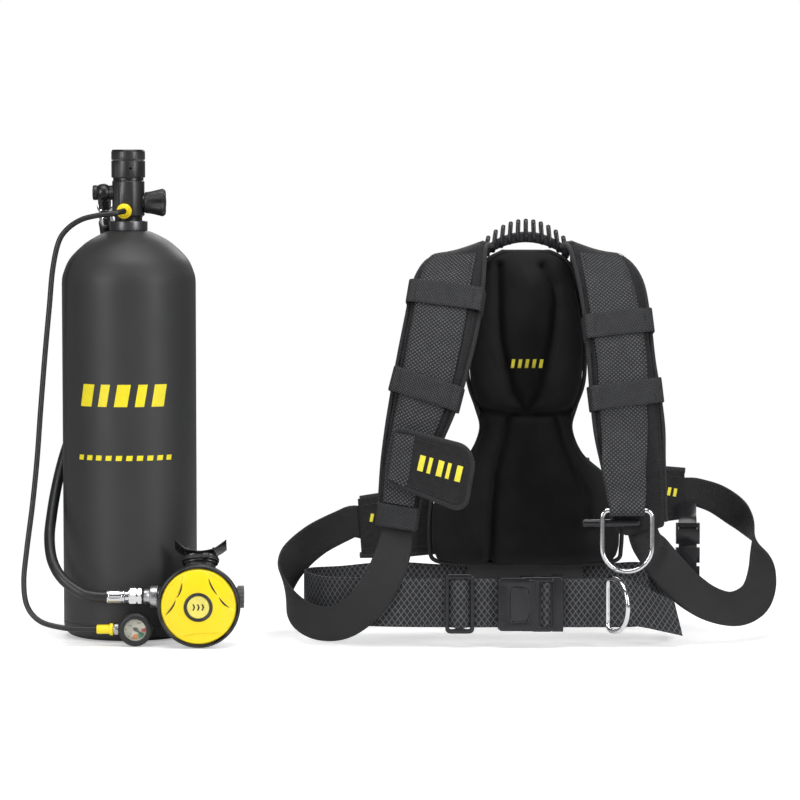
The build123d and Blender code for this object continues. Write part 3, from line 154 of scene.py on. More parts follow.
TANK_R = 70.0
REG_X, REG_Z = 78.1, 43.0                      # axis of the regulator's round cover
INLET = (0, -85.0, 50.0)                       # origin of the regulator's inlet fittings
GAUGE_X, GAUGE_Y, GAUGE_Z = 12.2, -92.0, 17.25
PACK_X = 417.0                                 # middle of the harness
BELT_Z = 45                                    # middle height of the waist belt
UP = (0, 0, 1)


def box_mm(node):
    low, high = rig.box(node)
    return low / M, high / M


def middle(node):
    low, high = box_mm(node)
    return (low + high) / 2


# ---------------------------------------------------------------------------
# Materials
# ---------------------------------------------------------------------------
MATERIALS = {}


class Nodes:
    """Short ways of adding nodes to a node tree."""

    def __init__(self, tree):
        self.tree = tree

    def add(self, kind, **settings):
        node = self.tree.nodes.new(kind)
        for key, value in settings.items():
            setattr(node, key, value)
        return node

    def feed(self, socket, value):
        """Links an output to the socket, or sets the socket's value."""
        if hasattr(value, "is_output"):
            self.tree.links.new(value, socket)
        else:
            socket.default_value = value

    def math(self, operation, first, second=0.0):
        node = self.add("ShaderNodeMath", operation=operation)
        for socket, value in zip(node.inputs, (first, second, 0.0)):
            self.feed(socket, value)
        return node.outputs[0]

    def span(self, value, target=(0.0, 1.0), source=(0.0, 1.0), **settings):
        """Maps the source range onto the target range."""
        node = self.add("ShaderNodeMapRange", **settings)
        for socket, entry in zip(node.inputs, (value, *source, *target)):
            self.feed(socket, entry)
        return node.outputs[0]


class Finish(Nodes):
    """A Principled material, kept in MATERIALS under its name.

    tone     (amount, noise scale) of uneven colour
    patches  (amount, noise scale) of uneven roughness
    turned   (axis index, noise scale, strength) of fine lathe lines
    grains   (noise scale, strength, depth in metres) of each fine bump
    worn     (colour, amount) of lighter sharp edges
    """

    def __init__(self, name, base, rough, metal=0.0, spec=0.5, coat=0.0, sheen=0.0,
                 tone=None, patches=None, turned=None, grains=(), worn=None):
        material = bpy.data.materials.new(name)
        material.use_nodes = True
        super().__init__(material.node_tree)
        MATERIALS[name] = material
        self.inputs = self.tree.nodes["Principled BSDF"].inputs
        for key, value in {
            "Base Color": (*base, 1), "Roughness": rough, "Metallic": metal,
            "Specular IOR Level": spec, "Coat Weight": coat, "Coat Roughness": 0.25,
            "Sheen Weight": sheen, "Sheen Roughness": 0.5,
        }.items():
            self.inputs[key].default_value = value
        self.normal = None
        if tone:
            amount, scale = tone
            dark = tuple(max(0.0, c * (1 - amount)) for c in base)
            light = tuple(min(1.0, c * (1 + amount)) for c in base)
            self.color(self.noise(scale, detail=4.0), (0.3, dark), (0.7, light))
        if patches:
            amount, scale = patches
            target = (max(0.02, rough - amount), min(1.0, rough + amount))
            noise = self.noise(scale, detail=5.0)
            self.feed(self.inputs["Roughness"], self.span(noise, target, source=(0.3, 0.7)))
        if turned:
            axis, scale, strength = turned
            stretch = [18.0, 18.0, 18.0]
            stretch[axis] = scale
            self.bump(self.noise(1.0, stretch=stretch), strength, depth=0.0001)
        for grain in grains:
            self.grain(*grain)
        if worn:
            colour, amount = worn
            sharpness = self.add("ShaderNodeNewGeometry").outputs["Pointiness"]
            mix = self.add("ShaderNodeMix", data_type="RGBA")
            self.feed(mix.inputs[0], self.span(sharpness, (0.0, amount), source=(0.515, 0.56)))
            self.feed(mix.inputs[6], self.inputs["Base Color"].links[0].from_socket)
            self.feed(mix.inputs[7], (*colour, 1))
            self.feed(self.inputs["Base Color"], mix.outputs[2])

    def coord(self, kind="Object"):
        return self.add("ShaderNodeTexCoord").outputs[kind]

    def split(self, vector):
        node = self.add("ShaderNodeSeparateXYZ")
        self.feed(node.inputs[0], vector)
        return node.outputs[0:3]

    def noise(self, scale, detail=2.0, stretch=None):
        """Noise over the object, its coordinates stretched if asked."""
        vector = self.coord()
        if stretch:
            scaled = self.add("ShaderNodeVectorMath", operation="MULTIPLY")
            self.feed(scaled.inputs[0], vector)
            scaled.inputs[1].default_value = stretch
            vector = scaled.outputs[0]
        node = self.add("ShaderNodeTexNoise")
        self.feed(node.inputs["Vector"], vector)
        node.inputs["Scale"].default_value = scale
        node.inputs["Detail"].default_value = detail
        return node.outputs["Fac"]

    def color(self, value, *stops):
        """Base colour from a ramp of two (position, colour) stops."""
        node = self.add("ShaderNodeValToRGB")
        for element, (position, colour) in zip(node.color_ramp.elements, stops):
            element.position, element.color = position, (*colour, 1)
        self.feed(node.inputs[0], value)
        self.feed(self.inputs["Base Color"], node.outputs[0])

    def bump(self, height, strength, depth):
        """Adds a bump on top of those before it; depth is in metres."""
        node = self.add("ShaderNodeBump")
        node.inputs["Strength"].default_value = strength
        node.inputs["Distance"].default_value = depth
        self.feed(node.inputs["Height"], height)
        if self.normal is not None:
            self.feed(node.inputs["Normal"], self.normal)
        self.normal = node.outputs[0]
        self.feed(self.inputs["Normal"], self.normal)

    def grain(self, scale, strength, depth):
        self.bump(self.noise(scale), strength, depth)

    def wave(self, value, pitch):
        return self.math("SINE", self.math("MULTIPLY", value, 2 * math.pi / (pitch * M)))

    def crossing(self, across, along, frequency):
        """Product of two diagonal waves, as in a knit or weave."""
        waves = [
            self.math("SINE", self.math("MULTIPLY", self.math(way, across, along), frequency))
            for way in ("ADD", "SUBTRACT")
        ]
        return self.math("MULTIPLY", *waves)


def plain_materials():
    Finish("tank_coating", (0.034, 0.0342, 0.035), 0.48, spec=0.36, tone=(0.05, 14),
           patches=(0.05, 30), grains=[(1500, 0.10, 0.00012), (260, 0.03, 0.0003)])
    Finish("dark_metal", (0.10, 0.10, 0.105), 0.36, metal=0.9, tone=(0.1, 30),
           turned=(2, 2600, 0.12), worn=((0.35, 0.35, 0.36), 0.6))
    Finish("black_anodised", (0.008, 0.008, 0.009), 0.36, tone=(0.15, 40), patches=(0.05, 60),
           turned=(2, 2400, 0.06), grains=[(2200, 0.08, 0.00008)],
           worn=((0.09, 0.09, 0.095), 0.5))
    Finish("steel", (0.52, 0.52, 0.53), 0.3, metal=1.0, tone=(0.12, 60), patches=(0.08, 200),
           grains=[(1800, 0.06, 0.0001)])
    Finish("chrome", (0.78, 0.78, 0.8), 0.13, metal=1.0, tone=(0.05, 50), patches=(0.05, 120),
           grains=[(700, 0.03, 0.0001)])
    Finish("knurled_metal", (0.36, 0.36, 0.37), 0.34, metal=1.0, tone=(0.15, 300),
           patches=(0.08, 300), grains=[(2600, 0.25, 0.00015)])
    Finish("rubber_hose", (0.014, 0.014, 0.015), 0.42, tone=(0.2, 90), patches=(0.07, 80),
           grains=[(1300, 0.14, 0.0002), (120, 0.05, 0.0006)])
    Finish("rubber_soft", (0.012, 0.012, 0.013), 0.5, tone=(0.25, 120), patches=(0.08, 90),
           grains=[(1700, 0.2, 0.00015)])
    Finish("silicone_black", (0.009, 0.009, 0.01), 0.26, spec=0.55, patches=(0.08, 160),
           grains=[(900, 0.07, 0.0002)])
    Finish("yellow_plastic", (0.92, 0.70, 0.008), 0.33, coat=0.1, tone=(0.035, 45),
           patches=(0.05, 80), grains=[(2400, 0.10, 0.00008)])
    Finish("yellow_label", (0.80, 0.70, 0.14), 0.36, coat=0.3, tone=(0.06, 160),
           grains=[(1600, 0.08, 0.0001)])
    Finish("yellow_ink", (0.88, 0.74, 0.02), 0.45, spec=0.4, tone=(0.04, 200),
           grains=[(1800, 0.08, 0.00008)])
    thread = Finish("yellow_thread", (0.86, 0.76, 0.05), 0.6, spec=0.3, sheen=0.4,
                    tone=(0.18, 1800))
    thread.bump(thread.noise(1.0, stretch=(2600, 2600, 500)), strength=0.5, depth=0.0004)
    Finish("black_plastic", (0.017, 0.017, 0.019), 0.38, tone=(0.15, 60), patches=(0.06, 60),
           grains=[(1900, 0.18, 0.00014)], worn=((0.05, 0.05, 0.053), 0.35))
    Finish("gloss_black_plastic", (0.012, 0.012, 0.014), 0.22, patches=(0.05, 70),
           grains=[(800, 0.04, 0.0001)])
    Finish("grey_plastic", (0.095, 0.095, 0.1), 0.45, tone=(0.12, 100),
           grains=[(1800, 0.2, 0.00014)])
    Finish("gauge_metal", (0.28, 0.28, 0.29), 0.32, metal=1.0, tone=(0.1, 90),
           turned=(1, 2200, 0.1))
    Finish("dial_cream", (0.80, 0.78, 0.64), 0.5, tone=(0.03, 300),
           grains=[(2500, 0.04, 0.00004)])
    for name, colour in (
        ("dial_orange", (0.85, 0.25, 0.03)), ("dial_green", (0.05, 0.36, 0.13)),
        ("dial_red", (0.65, 0.03, 0.03)), ("dial_black", (0.012, 0.012, 0.012)),
    ):
        Finish(name, colour, 0.5, tone=(0.08, 400))
    lens = Finish("lens_clear", (0.9, 0.93, 0.95), 0.05, spec=0.6, patches=(0.03, 80))
    lens.inputs["Alpha"].default_value = 0.05


def knitted_pad():
    """Smooth knitted face of the padding."""
    knit = Finish("pad_fabric", (0.0062, 0.0062, 0.0068), 0.84, spec=0.30, sheen=0.04,
                  tone=(0.35, 28))
    x, _, z = knit.split(knit.coord())
    knit.bump(knit.crossing(x, z, frequency=4700.0), strength=0.14, depth=0.00022)
    knit.grain(1600, strength=0.2, depth=0.0003)
    knit.grain(70, strength=0.07, depth=0.002)


def strap_cover():
    """Heavy weave of the strap covers."""
    cloth = Finish("cover_fabric", (0.016, 0.016, 0.0175), 0.76, spec=0.33, sheen=0.03)
    x, y, z = cloth.split(cloth.coord())
    across = cloth.math("ADD", x, cloth.math("MULTIPLY", y, 0.7))
    weave = cloth.crossing(across, z, frequency=3300.0)
    tone = cloth.math("ADD", cloth.math("MULTIPLY", weave, 0.3), cloth.noise(240, detail=4.0))
    cloth.color(tone, (0.25, (0.0055, 0.0055, 0.0062)), (0.8, (0.018, 0.018, 0.020)))
    cloth.bump(weave, strength=0.35, depth=0.00035)
    cloth.grain(900, strength=0.15, depth=0.0004)


def ribbed_binding():
    tape = Finish("binding", (0.014, 0.014, 0.016), 0.75, spec=0.35, sheen=0.1)
    ribs = tape.wave(tape.split(tape.coord("UV"))[1], pitch=1.7)
    tape.color(ribs, (0.1, (0.006, 0.006, 0.007)), (0.9, (0.040, 0.040, 0.044)))
    tape.bump(ribs, strength=0.5, depth=0.0004)


def webbing(name, pitch, dark, light, strength, coarse=False):
    """Woven webbing; pitch is (across, along) and strength is that of the weave's bump."""
    web = Finish(name, dark, 0.62, spec=0.4, sheen=0.03)
    calc = web.math
    across, along, _ = web.split(web.coord("UV"))
    turn_across = calc("MULTIPLY", across, math.pi / (pitch[0] * M))
    turn_along = calc("MULTIPLY", along, math.pi / (pitch[1] * M))
    rise, fall = (
        calc("ABSOLUTE", calc("SINE", calc(way, turn_across, turn_along)))
        for way in ("ADD", "SUBTRACT")
    )
    if coarse:
        # bright crossing threads with dark diamonds between
        line = calc("SUBTRACT", 1.0, calc("MINIMUM", rise, fall))
        body = calc("MINIMUM", rise, fall)
        bright = web.span(line, source=(0.62, 0.93))
        height = calc("ADD", calc("MULTIPLY", body, 0.8), calc("MULTIPLY", bright, 0.7))
    else:
        bright = web.span(calc("MULTIPLY", rise, fall), source=(0.35, 0.85))
        height = calc("MULTIPLY", rise, fall)
    yarn = calc("MULTIPLY", web.wave(along, pitch=0.9), web.wave(across, pitch=1.1))
    tone = calc("ADD", calc("MULTIPLY", bright, 0.86), calc("MULTIPLY", yarn, 0.07))
    fading = web.span(web.noise(90, detail=4.0), (-0.10, 0.10), source=(0.3, 0.7))
    web.color(calc("ADD", tone, fading), (0.05, dark), (0.95, light))
    web.bump(yarn, strength=0.22, depth=0.00025)
    web.bump(height, strength, depth=0.0006)


plain_materials()
knitted_pad()
strap_cover()
ribbed_binding()
Finish("seam_thread", (0.03, 0.03, 0.033), 0.6, spec=0.4, tone=(0.2, 900))
webbing("belt_webbing", (8.2, 6.1), dark=(0.0060, 0.0060, 0.0070),
        light=(0.115, 0.118, 0.130), strength=0.7, coarse=True)
webbing("shoulder_webbing", (4.6, 4.0), dark=(0.0065, 0.0065, 0.0075),
        light=(0.090, 0.092, 0.102), strength=0.8)
webbing("band_webbing", (3.4, 3.0), dark=(0.006, 0.006, 0.007),
        light=(0.050, 0.051, 0.057), strength=0.7)
webbing("loop_webbing", (2.4, 2.2), dark=(0.0065, 0.0065, 0.0075),
        light=(0.016, 0.016, 0.018), strength=0.5)

# Material of a CAD node's slot, where the two names differ
SLOT_LOOK = {
    "rubber": "rubber_soft", "dial_face": "dial_cream", "needle": "dial_black",
    "clear": "lens_clear", "webbing": "shoulder_webbing",
}
# Slot of a new piece by its material, where the two names differ; binding has none
LOOK_SLOT = {
    "knurled_metal": "steel", "rubber_hose": "rubber", "rubber_soft": "rubber",
    "silicone_black": "rubber", "yellow_label": "yellow_plastic",
    "yellow_ink": "yellow_plastic", "yellow_thread": "yellow_plastic",
    "gloss_black_plastic": "black_plastic", "dial_cream": "dial_face",
    "dial_orange": "dial_face", "dial_green": "dial_face", "dial_red": "dial_face",
    "dial_black": "dial_face", "cover_fabric": "pad_fabric", "seam_thread": "webbing",
    "belt_webbing": "webbing", "shoulder_webbing": "webbing", "band_webbing": "webbing",
    "loop_webbing": "webbing", "binding": None,
}


def node_look(node):
    slot = NODE_SLOT[node]
    return SLOT_LOOK.get(slot, slot)


def coat(ob, material):
    """Puts a material on an object without changing the materials its mesh has."""
    if not ob.material_slots:
        ob.data.materials.append(material)
    for slot in ob.material_slots:
        slot.link = "OBJECT"
        slot.material = material


for cad_name, cad_object in NODES.items():
    coat(cad_object, MATERIALS[node_look(cad_name)])


# ---------------------------------------------------------------------------
# Mesh helpers.  look is a material's name, body is what the piece rides on, and
# told holds a slot that differs from the look's own and the CAD node replaced.
# ---------------------------------------------------------------------------
def add_object(name, mesh, look, body, slot=None, replaces=None):
    mesh.materials.append(MATERIALS[look])
    ob = bpy.data.objects.new(name, mesh)
    bpy.context.scene.collection.objects.link(ob)
    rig.ride(ob, body)
    slot = slot or LOOK_SLOT.get(look, look)
    if slot:
        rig.slot(ob, slot)
    if replaces:
        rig.replaces(ob, replaces)
    return ob


def smooth(mesh, angle):
    mesh.shade_smooth()
    mesh.set_sharp_from_angle(angle=math.radians(angle))


def add_mesh(name, verts, faces, look, body, angle=40.0, uv=None, **told):
    mesh = bpy.data.meshes.new(name)
    mesh.from_pydata([(v[0] * M, v[1] * M, v[2] * M) for v in verts], [], faces)
    mesh.validate()
    if uv is not None:
        layer = mesh.uv_layers.new(name="UVMap")
        for loop in mesh.loops:
            layer.data[loop.index].uv = uv[loop.vertex_index]
    bm = bmesh.new()
    bm.from_mesh(mesh)
    bmesh.ops.recalc_face_normals(bm, faces=bm.faces)
    bm.to_mesh(mesh)
    bm.free()
    smooth(mesh, angle)
    return add_object(name, mesh, look, body, **told)


def lerp(a, b, t):
    return a + (b - a) * t


def clamp(value):
    return max(0.0, min(1.0, value))


def bezier(start, control, end, t):
    return start * (1 - t) ** 2 + control * (2 * t * (1 - t)) + end * t * t


def circle(count):
    """(cos, sin) at even steps round a full turn."""
    turns = [2 * math.pi * j / count for j in range(count)]
    return [(math.cos(a), math.sin(a)) for a in turns]


def catmull(rows, steps):
    """Catmull-Rom through rows of numbers; steps per span, or a list of them."""
    out = []
    last = len(rows) - 1
    for k in range(last):
        p0, p1, p2, p3 = (rows[max(0, min(last, j))] for j in (k - 1, k, k + 1, k + 2))
        count = steps[k] if isinstance(steps, list) else steps
        for i in range(count):
            t = i / count
            out.append(tuple(
                0.5 * (2 * b + (c - a) * t + (2 * a - 5 * b + 4 * c - d) * t * t
                       + (3 * b - a - 3 * c + d) * t ** 3)
                for a, b, c, d in zip(p0, p1, p2, p3)
            ))
    return out + [tuple(rows[-1])]


def tangent(points, i, closed=False):
    n = len(points)
    if closed:
        return (points[(i + 1) % n] - points[(i - 1) % n]).normalized()
    return (points[min(n - 1, i + 1)] - points[max(0, i - 1)]).normalized()


def skin(name, rings, look, body, closed=False, cap=True, **options):
    """Joins rings of equal length into a tube of quads."""
    n, k = len(rings), len(rings[0])
    faces = []
    for i in range(n if closed else n - 1):
        a, b = i * k, ((i + 1) % n) * k
        for j in range(k):
            faces.append((a + j, a + (j + 1) % k, b + (j + 1) % k, b + j))
    if cap and not closed:
        faces.append(tuple(reversed(range(k))))
        faces.append(tuple((n - 1) * k + j for j in range(k)))
    verts = [v for ring in rings for v in ring]
    return add_mesh(name, verts, faces, look, body, **options)


def tube(name, points, radius, look, body, seg, closed=False, **told):
    """Round bar along points; radius may be a function of 0..1 along it."""
    points = [Vector(p) for p in points]
    side = tangent(points, 0, closed).orthogonal().normalized()
    rings, uv, run = [], [], 0.0
    for i, p in enumerate(points):
        along = tangent(points, i, closed)
        side = (side - along * side.dot(along)).normalized()
        up = along.cross(side)
        r = radius(i / (len(points) - 1)) if callable(radius) else radius
        if i:
            run += (p - points[i - 1]).length
        rings.append([p + side * (r * ca) + up * (r * sa) for ca, sa in circle(seg)])
        uv += [(j / seg * 2 * math.pi * r * M, run * M) for j in range(seg)]
    return skin(name, rings, look, body, closed, uv=uv, angle=50.0, **told)


def lathe(name, profile, origin, axis, look, body, n=128, angle=32.0, wave=None, **told):
    """Turned shape: profile is (radius, height along axis), open or ending on the axis.
    wave(angle, radius, height) scales the radius."""
    axis = Vector(axis).normalized()
    side = axis.orthogonal().normalized()
    other = axis.cross(side)
    origin = Vector(origin)
    verts, faces, rows = [], [], []
    for r, h in profile:
        row = []
        if r < 1e-6:
            row.append(len(verts))
            verts.append(origin + axis * h)
        else:
            for j in range(n):
                a = 2 * math.pi * j / n
                rr = r * (wave(a, r, h) if wave else 1.0)
                row.append(len(verts))
                verts.append(origin + axis * h + side * (rr * math.cos(a))
                             + other * (rr * math.sin(a)))
        rows.append(row)
    for p, q in zip(rows, rows[1:]):
        for j in range(n):
            k = (j + 1) % n
            if len(p) == 1:
                faces.append((p[0], q[j], q[k]))
            elif len(q) == 1:
                faces.append((p[j], p[k], q[0]))
            else:
                faces.append((p[j], p[k], q[k], q[j]))
    return add_mesh(name, verts, faces, look, body, angle, **told)


def ribbon(name, stations, thick, look, body=HARNESS, step=3.0, across=12, closed=False,
           skew=False, **told):
    """Strap with soft selvedges through (x, y, z, across x, y, z, width) stations.
    skew keeps the stations' across directions instead of squaring them to the path."""
    rows = [(*s[:3], *Vector(s[3:6]).normalized(), s[6]) for s in stations]
    if closed:
        rows = rows + [rows[0]]
    knots = [Vector(r[:3]) for r in rows]
    dense = catmull(rows, [max(2, int((b - a).length / step)) for a, b in zip(knots, knots[1:])])
    if closed:
        dense = dense[:-1]
    centres = [Vector(d[:3]) for d in dense]
    rings, uv, run = [], [], 0.0
    h = thick / 2
    for i, d in enumerate(dense):
        along = tangent(centres, i, closed)
        side = Vector(d[3:6])
        side = side.normalized() if skew else (side - along * side.dot(along)).normalized()
        up = along.cross(side).normalized()
        width = d[6]
        if i:
            run += (centres[i] - centres[i - 1]).length
        half = []
        for j in range(across + 1):
            x = lerp(-width / 2 + 0.5, width / 2 - 0.5, j / across)
            half.append((x, h * (1.0 - 0.12 * abs(2 * x / width) ** 6)))
        half += [(width / 2, h * 0.35), (width / 2, -h * 0.35)]
        section = half + [(-x, -y) for x, y in half]
        rings.append([centres[i] + side * x + up * y for x, y in section])
        uv += [((x + width / 2) * M, run * M) for x, y in section]
    return skin(name, rings, look, body, closed, uv=uv, angle=50.0, **told)


def upright(rows):
    """Ribbon stations with the width standing up, from (x, y, z, width) rows."""
    return [(x, y, z, *UP, width) for x, y, z, width in rows]


def round_poly(poly, radius, n=5):
    """Rounds a 2D polygon's corners; radius may be a list."""
    out = []
    for i, corner in enumerate(poly):
        p = Vector(corner)
        before = Vector(poly[i - 1]) - p
        after = Vector(poly[(i + 1) % len(poly)]) - p
        r = radius[i] if isinstance(radius, list) else radius
        d = min(r, before.length * 0.48, after.length * 0.48)
        start, end = p + before.normalized() * d, p + after.normalized() * d
        out += [tuple(bezier(start, p, end, j / n)) for j in range(n + 1)]
    return out


def rect(cx, cy, w, h, radius):
    left, right, low, high = cx - w / 2, cx + w / 2, cy - h / 2, cy + h / 2
    return round_poly([(left, low), (right, low), (right, high), (left, high)], radius)


def densify(poly, step):
    """Closed outline with points no further apart than about two steps."""
    out = []
    for i in range(len(poly)):
        a, b = Vector(poly[i]), Vector(poly[(i + 1) % len(poly)])
        n = max(1, int((b - a).length / step))
        out += [a.lerp(b, j / n) for j in range(n)]
    return out


def basis(origin, x, z):
    """Placement with the given local x and z axes."""
    z = Vector(z).normalized()
    x = Vector(x)
    x = (x - z * x.dot(z)).normalized()
    placement = Matrix((x, z.cross(x), z)).transposed().to_4x4()
    placement.translation = Vector(origin)
    return placement


def facing_front(x, y, z):
    """Placement whose flat drawing is seen from the front."""
    return basis((x, y, z), (1, 0, 0), (0, -1, 0))


def mesh_of_curve(curve, temp_name):
    temp = bpy.data.objects.new(temp_name, curve)
    bpy.context.scene.collection.objects.link(temp)
    depsgraph = bpy.context.evaluated_depsgraph_get()
    mesh = bpy.data.meshes.new_from_object(temp.evaluated_get(depsgraph))
    bpy.data.objects.remove(temp)
    return mesh


def plate(name, loops, thick, bevel, place, look, body, res=3, warp=None, **told):
    """Flat plate from 2D outlines (holes allowed), edges rounded, mid plane at place."""
    curve = bpy.data.curves.new(name + "_c", "CURVE")
    curve.dimensions = "2D"
    curve.fill_mode = "BOTH"
    curve.extrude = (thick / 2 - bevel) * M
    curve.bevel_depth = bevel * M
    curve.bevel_resolution = res
    curve.offset = -bevel * M
    for loop in loops:
        spline = curve.splines.new("POLY")
        spline.points.add(len(loop) - 1)
        for point, (x, y) in zip(spline.points, loop):
            point.co = (x * M, y * M, 0, 1)
        spline.use_cyclic_u = True
    mesh = mesh_of_curve(curve, name + "_c")
    bpy.data.curves.remove(curve)
    mesh.name = name
    bm = bmesh.new()
    bm.from_mesh(mesh)
    bmesh.ops.remove_doubles(bm, verts=bm.verts, dist=2e-6)
    for v in bm.verts:
        p = v.co / M
        if warp:
            p = Vector(warp(p))
        v.co = (place @ p) * M
    bmesh.ops.recalc_face_normals(bm, faces=bm.faces)
    bm.to_mesh(mesh)
    bm.free()
    mesh.materials.clear()
    smooth(mesh, 38)
    return add_object(name, mesh, look, body, **told)


def refine(node, bevel, look=None):
    """Stands for a CAD node: the same shape with its hard edges softened."""
    bm = bmesh.new()
    bm.from_mesh(NODES[node].data)
    bmesh.ops.remove_doubles(bm, verts=bm.verts, dist=4e-6)
    bmesh.ops.dissolve_limit(bm, angle_limit=math.radians(1.2), verts=bm.verts, edges=bm.edges)
    sharp = [e for e in bm.edges
             if len(e.link_faces) == 2 and e.calc_face_angle(0) > math.radians(33.0)]
    bmesh.ops.bevel(bm, geom=sharp, offset=bevel * M, segments=2, profile=0.5, affect="EDGES",
                    clamp_overlap=True)
    bmesh.ops.recalc_face_normals(bm, faces=bm.faces)
    mesh = bpy.data.meshes.new(node + "_finished")
    bm.to_mesh(mesh)
    bm.free()
    smooth(mesh, 28)
    add_object(node + "_finished", mesh, look or node_look(node), BODY_OF[node],
               slot=NODE_SLOT[node], replaces=node)


def refine_all(bevels, look=None):
    for node, bevel in bevels.items():
        # guards against a node that is missing or can't be bevelled: its CAD shape then shows
        try:
            refine(node, bevel, look)
        except Exception as err:
            print("kept the CAD shape of", node, err)


# ---------------------------------------------------------------------------
# Cylinder and valve
# ---------------------------------------------------------------------------
SHOULDER_Z = 371

# (radius, height); the first span only sets the slope at the shoulder and is cut off
dome = catmull([(70, 362), (70, SHOULDER_Z), (68.2, 381), (61, 396.2), (45, 411.8),
                (29, 421.2), (20.5, 424.5)], 10)[10:]
foot = [
    (0, 1.2), (30, 1.0), (44, 0.5), (50, 0.0), (57, 0.0), (60.5, 0.5), (64.2, 2.0),
    (67.2, 4.6), (69.0, 8.0), (69.8, 11.5), (70, 14), (70, 15.8), (69.6, 16.1),
    (69.5, 16.5), (69.6, 16.9), (70, 17.2),
]
wall = [(TANK_R, 17.2 + (SHOULDER_Z - 17.2) * i / 40) for i in range(1, 40)]
neck = [(19.6, 424.5), (12.7, 424.5), (12.7, 405)]
lathe("tank_shell", foot + wall + dome + neck, (0, 0, 0), UP, "tank_coating", CYLINDER,
      n=192, replaces="cylinder")


def tank_decal(name, marks, mid_z):
    """Printed marks wrapped round the front of the cylinder.
    Each mark is (left, right, bottom, top, lean of the top edge)."""
    verts, faces = [], []
    for left, right, bottom, top, lean in marks:
        n = max(1, int((right - left) / 1.5))
        base = len(verts)
        for r in (TANK_R + 0.10 - 0.25, TANK_R + 0.10 + 0.16):
            for i in range(n + 1):
                x = lerp(left, right, i / n)
                for z, shift in ((bottom, 0.0), (top, lean)):
                    a = (x + shift) / TANK_R
                    verts.append((r * math.sin(a), -r * math.cos(a), mid_z + z))
        row = (n + 1) * 2
        for i in range(n):
            a = base + i * 2
            b = a + row
            faces += [(a, a + 1, a + 3, a + 2), (b, b + 2, b + 3, b + 1),
                      (a, a + 2, b + 2, b), (a + 1, b + 1, b + 3, a + 3)]
        a = base + n * 2
        b = a + row
        faces += [(base, base + row, base + row + 1, base + 1), (a, a + 1, b + 1, b)]
    add_mesh(name, verts, faces, "yellow_ink", CYLINDER, 30.0)


# a row of slanted bars over a dashed rule
bars = []
bar_x = -50.0
for pitch in (17.0, 13.0, 17.0, 13.0, 17.0):
    bars.append((bar_x, bar_x + pitch - 3.2, -11.5, 11.5, 4.0))
    bar_x += pitch + 4.6
tank_decal("tank_mark_bars", bars, 256.0)
dashes = []
for i in range(10):
    left = -53 + i * 10.9
    dashes.append((left, left + (6.0 if i in (0, 9) else 6.4), -2.6, 2.6, 0.8))
tank_decal("tank_mark_dashes", dashes, 191.5)

# CAD nodes kept as they are but for softened edges: node and edge size
refine_all({
    "neck_collar": 0.3, "valve_body": 0.3, "regulator_head": 0.3, "fill_cap": 0.35,
    "burst_plug": 0.35, "lp_banjo_bolt": 0.3, "lp_elbow": 0.3, "valve_stem": 0.2,
    "stage_housing": 0.5, "cap_washer": 0.15, "inlet_barrel": 0.25, "cover_ring": 0.3,
    "purge_ring": 0.25, "adjust_knob": 0.3, "gauge_case": 0.25, "gauge_nut": 0.3,
    "gauge_line_nuts": 0.25, "gauge_boot": 0.4, "exhaust_cover": 0.3,
    "mouthpiece_tie": 0.3, "cam_frame": 0.5, "cam_lever": 0.5, "back_plate": 0.8,
})


def knob_scallops(a, r, h):
    """Five deep finger scallops on the outer part of the knob."""
    if h <= 20.6:
        return 1.0
    k = 0.5 + 0.5 * math.cos(5 * a + 0.6)
    return 1.0 - 0.26 * (k ** 1.8) * clamp((h - 20.5) / 6.0) * clamp((r - 4) / 3)


knob_profile = [
    (3.3, 19.4), (7.7, 19.4), (7.7, 17.4), (10.0, 17.2), (10.8, 17.5), (11.2, 18.3),
    (11.4, 20.6), (12.0, 23.6), (12.9, 27.4), (13.8, 31.0), (14.6, 34.2), (14.8, 35.2),
    (14.7, 36.0), (14.2, 37.0), (13.2, 38.2), (12.4, 38.7), (11.2, 38.9), (7.4, 38.9),
    (6.4, 38.7), (5.6, 37.9), (4.6, 37.5), (0, 37.45),
]
lathe("knob_grip", knob_profile, (0, 0, middle("valve_knob").z), (1, 0, 0), "rubber_soft",
      "knob", n=160, angle=50, wave=knob_scallops, slot="black_anodised",
      replaces="valve_knob")

